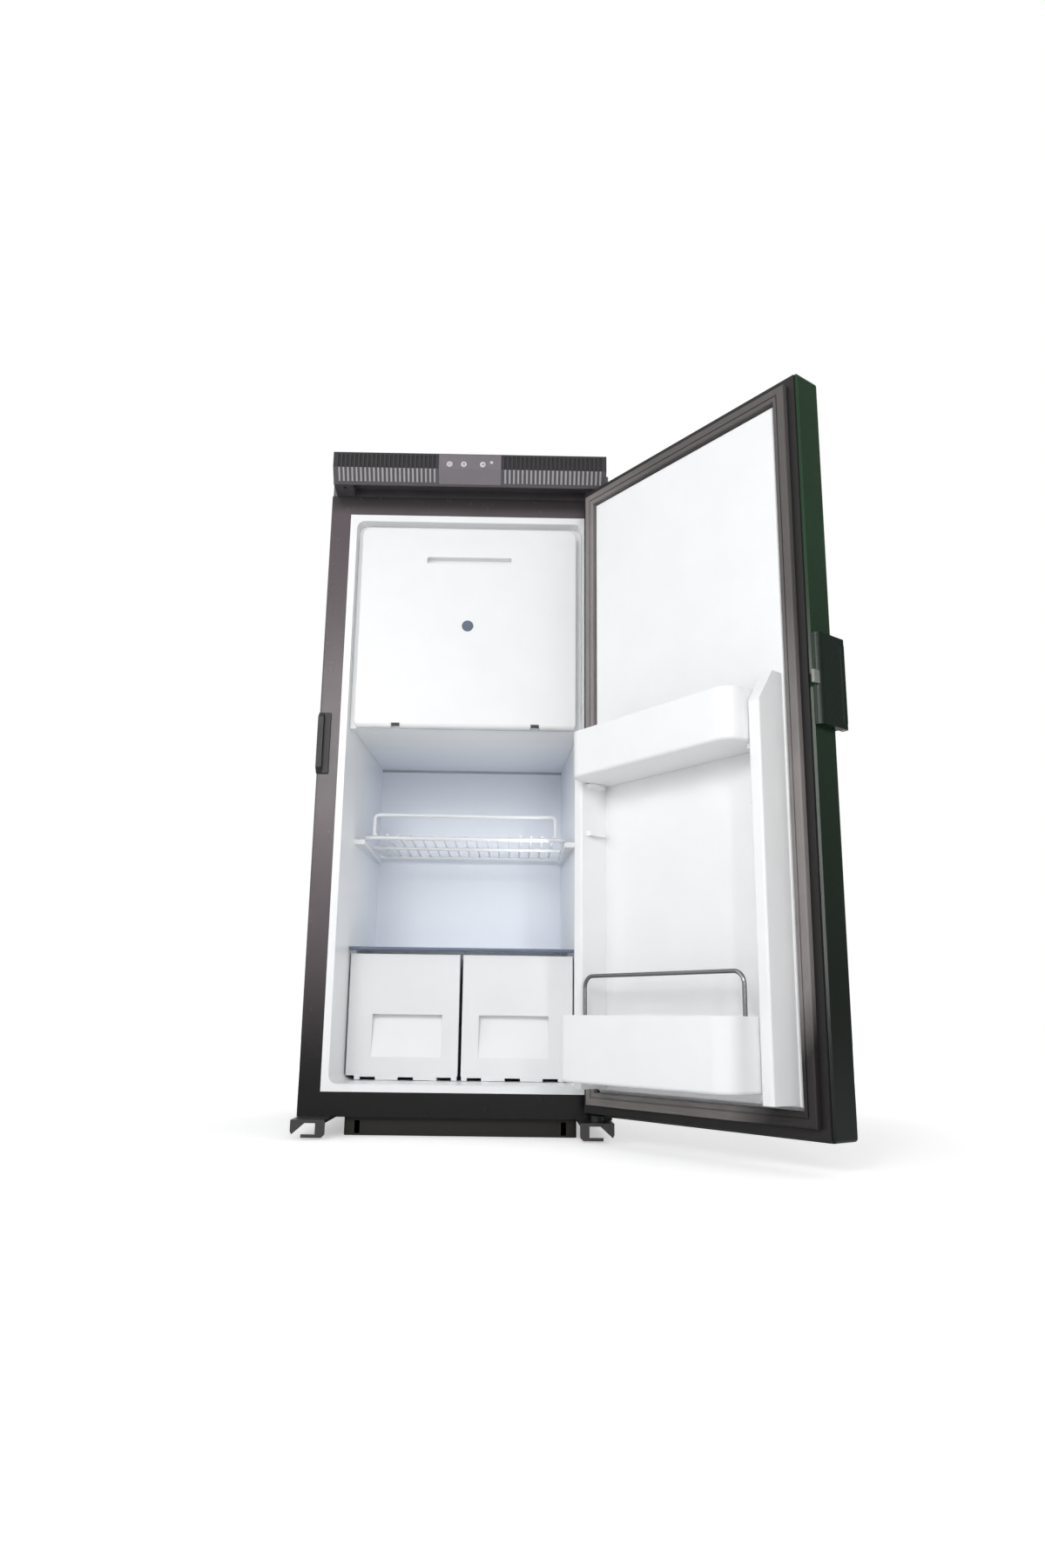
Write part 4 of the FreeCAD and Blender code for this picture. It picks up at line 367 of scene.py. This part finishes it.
def make_plastics():
    return {
        "white": surface("white_plastic", (241, 242, 243), 0.3, **SMOOTH),
        "liner": surface("liner_plastic", (246, 247, 248), 0.3, **SMOOTH),
        "frame": surface("satin_frame", (89, 80, 84), 0.26, vary=0.08, grain=1500, depth=0.08, shine=0.28),
        "vent": surface("vent_plastic", (50, 48, 51), 0.42, grain=1400, depth=0.12, shine=0.3),
        "duct": surface("duct_plastic", (74, 71, 74), 0.45, grain=1400, depth=0.12, shine=0.3),
        # the pale fins' colour is painted light: the bevel's slats as if lit from below
        "fin": surface("fin_painted_light_plastic", (168, 165, 169), 0.4, grain=1400, depth=0.08, shine=0.4),
        "fin_dark": surface("fin_dark_plastic", (40, 38, 40), 0.45, grain=1400, depth=0.08, shine=0.3),
        "panel": surface("panel_plastic", (116, 111, 116), 0.45, grain=1600, depth=0.1, shine=0.35),
        "button": surface("button_plastic", (206, 203, 207), 0.4, grain=1600),
        "latch": surface("latch_plastic", (18, 32, 25), 0.28, grain=1500, depth=0.06, shine=0.25),
        "pawl": surface("pawl_plastic", (128, 132, 128), 0.4, grain=1400, depth=0.06),
        "disc": surface("disc_plastic", (82, 97, 112), 0.4, grain=1500, depth=0.08),
        "slate": surface("slate_plastic", (102, 112, 136), 0.4, grain=1500, depth=0.08),
        "acetal": surface("acetal", (205, 205, 200), 0.4, grain=1400, depth=0.06),
        "dark": surface("dark_plastic", (32, 32, 33), 0.5, grain=1400, depth=0.12),
        "clip": surface("clip_plastic", (70, 70, 72), 0.45, grain=1400, depth=0.1),
        "light": surface("light_lens", (190, 205, 190), 0.15, vary=0.02, grain=400, depth=0.02),
        "cover": glass("cover_glass", (225, 232, 236), 0.06),
    }


def make_metals():
    return {
        "shell": surface("door_paint", (28, 58, 34), 0.2, vary=0.14, mottle=9, grain=700, depth=0.03,
                         shine=0.3),
        "bracket": surface("bracket_steel", (70, 68, 68), 0.4, metal=0.8, grain=500, depth=0.1),
        "base": surface("base_steel", (37, 36, 32), 0.5, metal=0.3, grain=600, depth=0.1, shine=0.3),
        "casing": surface("casing_steel", (112, 114, 117), 0.5, metal=0.25, grain=260, depth=0.08,
                          shine=0.3),
        "bare": surface("bare_steel", (170, 170, 170), 0.3, metal=1.0, grain=800),
        "chrome": surface("chrome_wire", (128, 128, 130), 0.14, metal=1.0, vary=0.02, grain=400, depth=0.02),
        "wire": surface("coated_wire", (230, 232, 235), 0.3, vary=0.03),
        "can": surface("black_enamel", (20, 20, 21), 0.3, vary=0.1, grain=300, depth=0.06),
        "copper": surface("copper_tube", (178, 110, 78), 0.32, metal=1.0, vary=0.1, grain=500),
    }


def make_soft_materials():
    return {
        "seal": surface("seal_rubber", (132, 127, 126), 0.5, vary=0.08, grain=1800, depth=0.15, shine=0.3),
        "rubber": surface("black_rubber", (26, 26, 26), 0.7, grain=1500, depth=0.2),
        "bead": surface("sealing_bead", (165, 172, 177), 0.6, depth=0.1),
        "foam": surface("foam", (214, 194, 138), 0.9, vary=0.1, grain=250, depth=0.4),
        "board": surface("circuit_board", (34, 92, 52), 0.4, depth=0.1),
    }


def add_painted_light_and_shade(made):
    """Painted light and shade on the broad surfaces, whose colour changes over their length: a liner that
    goes cooler and darker deeper in, a darker frame foot, a painted shadow along the frame's head, a darker
    lower door edge, lighter vent faces that look down, and darker gasket corners and flange.
    """
    # painted shade: the liner goes cooler and darker deeper in the cavity
    painted_shade_along(made["liner"], "Y", LINER_SHADE_DEPTHS, (233, 238, 246))
    # painted shade: the frame goes nearly black towards its foot
    painted_shade_along(made["frame"], "Z", FRAME_FOOT_SHADE, (9, 9, 9))
    # painted shadow under the vent panel's overhang, along the frame's head
    painted_shade_along(made["frame"], "Z", FRAME_HEAD_SHADOW, (58, 54, 56))
    # painted shade: the door's shell darker towards the bottom
    painted_shade_along(made["shell"], "Z", DOOR_SHADE_HEIGHTS, (9, 19, 12))
    # painted light: the vent's faces that look down, its bevel among them, lighter as if lit from below
    painted_light_below(made["vent"], (84, 81, 85))
    # painted shade at the gasket's upper and lower free corners
    painted_shade_towards(made["seal"], -UPPER_CORNER, -UPPER_LEVEL, UPPER_FADE, (88, 84, 84))
    painted_shade_towards(made["seal"], -LOWER_CORNER, -LOWER_LEVEL, LOWER_FADE, (40, 37, 37))
    # painted shade in the groove along the gasket's flange
    painted_shade_towards(made["seal"], DOOR_FACING, SEAL_FLANGE, MM, (30, 28, 28))


def make_materials():
    made = {**make_plastics(), **make_metals(), **make_soft_materials()}
    add_painted_light_and_shade(made)
    return made


LOOKS = {
    "liner": ("inner_liner", "freezer_box"),
    "white": ("freezer_bezel", "freezer_flap", "crisper_left", "crisper_right", "door_liner", "upper_bin",
              "lower_bin", "terminal_block"),
    "frame": ("front_frame",),
    "vent": ("vent_panel",),
    "duct": ("vent_housing",),
    "panel": ("control_panel",),
    "button": ("power_button", "mode_button", "level_button"),
    "shell": ("door_shell",),
    "seal": ("door_gasket",),
    "latch": ("latch_housing", "latch_handle"),
    "bracket": ("hinge_bracket_left", "hinge_bracket_right"),
    "base": ("base_pan",),
    "casing": ("outer_casing", "bottom_panel", "box_top_panel", "back_panel", "machine_tray",
               "condenser_straps"),
    "bare": ("hinge_pin_top", "hinge_pin_bottom", "bracket_screws", "flap_hinge_pins", "handle_pin"),
    "chrome": ("bottle_rail",),
    "wire": ("wire_shelf",),
    "disc": ("flap_disc",),
    "slate": ("cover_trim",),
    "cover": ("crisper_cover",),
    "acetal": ("hinge_bush_top", "hinge_bush_bottom"),
    "pawl": ("latch_pawl",),
    "dark": ("latch_catch", "control_module", "fan_frame", "fan_rotor", "drip_tray", "hinge_spacer"),
    "rubber": ("compressor_mounts",),
    "can": ("compressor", "condenser"),
    "copper": ("drier", "refrigerant_pipes"),
    "foam": ("insulation_foam", "door_foam"),
    "board": ("control_board",),
    "light": ("status_light",),
}


def dress_nodes(materials):
    for look, names in LOOKS.items():
        for name in names:
            slots = NODES[name].data.materials
            slots.clear()
            slots.append(materials[look])


# Pieces that the scene adds

def add_piece(name, points, faces, material, body, slot):
    mesh = bpy.data.meshes.new(name)
    mesh.from_pydata(points, [], faces)
    work = bmesh.new()
    work.from_mesh(mesh)
    bmesh.ops.recalc_face_normals(work, faces=work.faces)
    work.to_mesh(mesh)
    work.free()
    mesh.materials.append(material)
    piece = bpy.data.objects.new(name, mesh)
    bpy.context.scene.collection.objects.link(piece)
    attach(piece, body)


def prism(section, start, end):
    """Points and faces of a closed section carried from one place to another."""
    count = len(section)
    points = [Vector(start) + Vector(p) for p in section] + [Vector(end) + Vector(p) for p in section]
    faces = [(i, (i + 1) % count, (i + 1) % count + count, i + count) for i in range(count)]
    faces.append(tuple(reversed(range(count))))
    faces.append(tuple(range(count, 2 * count)))
    return points, faces


def gather(parts):
    """One list of points and faces from several."""
    points, faces = [], []
    for part_points, part_faces in parts:
        first = len(points)
        points += part_points
        faces += [tuple(index + first for index in face) for face in part_faces]
    return points, faces


# Vent fins: the vent panel's faces, its crease and its slits are as in the CAD

FRONT = -0.235
VENT_FACE = FRONT - 50 * MM
VENT_SET_BACK = 13 * MM
FRAME_TOP = 0.924
CREASE = 0.945
TOP = 0.970
SLIT_FIRST = 52.4 * MM
SLIT_PITCH = 6.4 * MM
SLIT_WIDTH = 3 * MM
SLIT_COUNT = 23
FIN_DEPTH = 1.2 * MM
FIN_CHAMFER = 0.5 * MM
FIN_MARGIN = 4 * MM
PALE_SINK = 0.3 * MM
DARK_SINK = 0.9 * MM


def fin_row(low, high, sink):
    """Fins in every slit between two heights, set behind the vent panel's face."""
    lean = VENT_SET_BACK / (CREASE - FRAME_TOP)
    half, flat = SLIT_WIDTH / 2, SLIT_WIDTH / 2 - FIN_CHAMFER
    deep, edge = sink + FIN_DEPTH, sink + FIN_CHAMFER
    section = [(-half, deep, 0), (half, deep, 0), (half, edge, 0), (flat, sink, 0), (-flat, sink, 0),
               (-half, edge, 0)]
    fins = []
    for side in (-1, 1):
        for i in range(SLIT_COUNT):
            x = side * (SLIT_FIRST + SLIT_PITCH * i)
            ends = [(x, VENT_FACE + max(0.0, CREASE - z) * lean, z) for z in (low, high)]
            fins.append(prism(section, *ends))
    return gather(fins)


def add_vent_fins(materials):
    """Louvre fins in the slits: pale ones in the bevel, their colour painted light as if lit from below, and
    dark ones set back in the upright face.
    """
    pale = fin_row(FRAME_TOP + FIN_MARGIN, CREASE, PALE_SINK)
    dark = fin_row(CREASE, TOP - FIN_MARGIN, DARK_SINK)
    add_piece("vent_fins_low", *pale, materials["fin"], "cabinet", "panel_grey")
    add_piece("vent_fins_high", *dark, materials["fin_dark"], "cabinet", "dark_plastic")


# Signs on the buttons

SIGN_LIFT = 0.12 * MM
SIGN_LINE = 0.45 * MM
UPRIGHT = math.radians(90)


def arc_band(centre, inner, outer, start, end, steps):
    """A flat raised arc in the X-Z plane, facing the front."""
    back = Vector((0, SIGN_LIFT, 0))
    rings = []
    for i in range(steps + 1):
        angle = start + (end - start) * i / steps
        way = Vector((math.cos(angle), 0, math.sin(angle)))
        near, far = centre + way * inner, centre + way * outer
        rings.append([near + back, near, far, far + back])
    points = [p for ring in rings for p in ring]
    corners = len(rings[0])
    faces = []
    for i in range(steps):
        for j in range(corners):
            a, b = corners * i + j, corners * i + (j + 1) % corners
            faces.append((a, b, b + corners, a + corners))
    faces.append(tuple(reversed(range(corners))))
    faces.append(tuple(range(corners * steps, corners * steps + corners)))
    return points, faces


def bar(centre, length, width, angle):
    """A flat raised bar in the X-Z plane, facing the front."""
    along = Vector((math.cos(angle), 0, math.sin(angle))) * length / 2
    across = Vector((-math.sin(angle), 0, math.cos(angle))) * width / 2
    section = [centre - along - across, centre + along - across, centre + along + across,
               centre - along + across]
    return prism(section, (0, SIGN_LIFT, 0), (0, 0, 0))


def power_sign(centre):
    """A broken ring with an upright bar in its gap."""
    inner, rise, length = 1.7 * MM, 1.5 * MM, 2.0 * MM
    start, end, steps = math.radians(125), math.radians(415), 24
    ring = arc_band(centre, inner, inner + SIGN_LINE, start, end, steps)
    return [ring, bar(centre + Vector((0, 0, rise)), length, SIGN_LINE, UPRIGHT)]


def mode_sign(centre):
    """A six-armed star of three crossed bars, each a hair in front of the one before."""
    length, hair = 4.2 * MM, 0.01 * MM
    arms = []
    for k in range(3):
        place = centre + Vector((0, -hair * k, 0))
        arms.append(bar(place, length, SIGN_LINE, math.radians(60 * k + 30)))
    return arms


def level_sign(centre):
    """Three bars of growing length, side by side."""
    pitch, drop, width = 1.2 * MM, 0.45 * MM, 1.5 * SIGN_LINE
    bars = []
    for k in (-1, 0, 1):
        length = (2.2 + 0.9 * k) * MM
        place = centre + Vector((pitch * k, 0, drop * (k - 1)))
        bars.append(bar(place, length, width, UPRIGHT))
    return bars


SIGNS = {"power_button": power_sign, "mode_button": mode_sign, "level_button": level_sign}


def add_icons(materials):
    """One plain sign on each button."""
    for node, draw in SIGNS.items():
        low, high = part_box(node)
        centre = Vector(((low[0] + high[0]) / 2, low[1] - SIGN_LIFT, (low[2] + high[2]) / 2))
        sign = gather(draw(centre))
        add_piece(node.replace("button", "sign"), *sign, materials["dark"], node, "dark_plastic")


# Trim inside the cabinet

NOTCH_SHARES = (0.13, 0.5, 0.87)
NOTCH_WIDTH = 22 * MM
NOTCH_RISE = 4 * MM


def skirt_outline(start, end, low, high):
    """A strip with three wide notches in its lower edge, as points in the X-Z plane."""
    half = NOTCH_WIDTH / 2
    roof = low + NOTCH_RISE
    outline = [(start, 0, high), (start, 0, low)]
    for share in NOTCH_SHARES:
        middle = start + share * (end - start)
        left, right = middle - half, middle + half
        outline += [(left, 0, low), (left, 0, roof), (right, 0, roof), (right, 0, low)]
    return outline + [(end, 0, low), (end, 0, high)]


def add_skirts(materials):
    """Notched strips along the lower edge of the crisper fronts, just clear of the liner's floor."""
    clear, overlap, thick = 5.6 * MM, 3 * MM, 2 * MM
    inner, outer = 1 * MM, 13 * MM
    for name in ("crisper_left", "crisper_right"):
        low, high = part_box(name)
        ends = (outer, inner) if name == "crisper_left" else (inner, outer)
        outline = skirt_outline(low[0] + ends[0], high[0] - ends[1], low[2] - clear, low[2] + overlap)
        strip = prism(outline, (0, low[1] - thick, 0), (0, low[1], 0))
        add_piece(name + "_skirt", *strip, materials["white"], name, "white_plastic")


def add_bead(materials):
    """A sealing bead where the freezer's underside meets the back wall."""
    low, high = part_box("freezer_box")
    leg, inset = 3.5 * MM, 12.5 * MM
    hollow = leg * 0.4
    half = high[0] - inset
    section = [(0, 0, 0), (0, 0, -leg), (0, -hollow, -hollow), (0, -leg, 0)]
    bead = prism(section, (-half, high[1], low[2]), (half, high[1], low[2]))
    add_piece("freezer_bead", *bead, materials["bead"], "cabinet", "seal_grey")


def add_clips(materials):
    """Two hinge clips round the flap's lower edge."""
    low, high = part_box("freezer_flap")
    radius, thick, half, inset = 6.3 * MM, 0.4 * MM, 6 * MM, 60 * MM
    degrees = list(range(5, 51, 9))
    middle = Vector((0, low[1] + radius, low[2] + radius))
    section = []
    for reach, angles in ((radius + thick, degrees), (radius, reversed(degrees))):
        for angle in angles:
            way = math.radians(angle)
            section.append((0, -reach * math.cos(way), -reach * math.sin(way)))
    clips = []
    for place in (low[0] + inset, high[0] - inset):
        start = middle + Vector((place - half, 0, 0))
        end = middle + Vector((place + half, 0, 0))
        clips.append(prism(section, start, end))
    add_piece("flap_hinge_clips", *gather(clips), materials["clip"], "freezer_flap", "dark_plastic")


# Sheet metal and fasteners at the back

CASING_INSIDE = 208.7 * MM

# Pieces held by screws: the screws' inset from the sides, their heights as shares, and the heads' radius
SCREWED = {
    "back_panel": (9 * MM, (0.03, 0.5, 0.97), 3.2 * MM),
    "fan_frame": (6 * MM, (0.075, 0.925), 2.4 * MM),
    "control_module": (5 * MM, (0.93,), 2.2 * MM),
}


def add_returns(materials):
    """Folded flanges that close the gaps between the casing's sides and the vent housing."""
    low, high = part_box("vent_housing")
    clear, sheet, fold, margin = 0.2 * MM, 1.2 * MM, 7 * MM, 1.5 * MM
    inner, front = high[0] + clear, high[1] + clear
    folded = [(CASING_INSIDE, front), (CASING_INSIDE, front + sheet), (inner + sheet, front + sheet),
              (inner + sheet, front + fold), (inner, front + fold), (inner, front)]
    flanges = []
    for side in (-1, 1):
        section = [(side * x, y, 0) for x, y in folded]
        flanges.append(prism(section, (0, 0, FRAME_TOP + margin), (0, 0, TOP - margin)))
    add_piece("casing_returns", *gather(flanges), materials["casing"], "cabinet", "grey_steel")


def screw_head(place, out, radius, height):
    """A domed screw head with a hexagon socket, facing a given way."""
    side = out.orthogonal().normalized()
    up = out.cross(side)
    count = 24
    rings = [(radius, 0, False), (radius, 0.45 * height, False), (0.8 * radius, 0.85 * height, False),
             (0.5 * radius, height, True), (0.5 * radius, 0.35 * height, True)]
    points = []
    for reach, lift, six_sided in rings:
        for i in range(count):
            angle = 2 * math.pi * i / count
            corner = angle % (math.pi / 3) - math.pi / 6
            wide = reach * math.cos(math.pi / 6) / math.cos(corner) if six_sided else reach
            points.append(place + out * lift + (side * math.cos(angle) + up * math.sin(angle)) * wide)
    last = len(rings) - 1
    faces = [tuple(range(count)), tuple(range(last * count, (last + 1) * count))]
    for ring in range(last):
        for i in range(count):
            a, b = ring * count + i, ring * count + (i + 1) % count
            faces.append((a, b, b + count, a + count))
    return points, faces


def rear_screws():
    """Screws that face the rear, in two upright rows on each piece."""
    rearward = Vector((0, 1, 0))
    heads = []
    for name, (inset, rows, radius) in SCREWED.items():
        low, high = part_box(name)
        for x in (low[0] + inset, high[0] - inset):
            for share in rows:
                place = Vector((x, high[1], low[2] + share * (high[2] - low[2])))
                heads.append(screw_head(place, rearward, radius, 0.6 * radius))
    return heads


def foot_bolts():
    """Bolts through the compressor's foot plate, over the rubber mounts."""
    upward = Vector((0, 0, 1))
    low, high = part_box("compressor_mounts")
    middle, plate, radius, height = 11 * MM, 3 * MM, 5 * MM, 4 * MM
    heads = []
    for x in (low[0] + middle, high[0] - middle):
        for y in (low[1] + middle, high[1] - middle):
            heads.append(screw_head(Vector((x, y, high[2] + plate)), upward, radius, height))
    return heads


def add_screws(materials):
    """Screws of the back panel, fan and control module, and the bolts through the compressor's feet."""
    heads = gather(rear_screws() + foot_bolts())
    add_piece("machine_screws", *heads, materials["bare"], "cabinet", "bare_steel")


bpy.context.scene.view_settings.view_transform = "Standard"
add_camera()
light_studio()
add_floor()
MADE = make_materials()
dress_nodes(MADE)
add_vent_fins(MADE)
add_icons(MADE)
add_skirts(MADE)
add_bead(MADE)
add_clips(MADE)
add_returns(MADE)
add_screws(MADE)
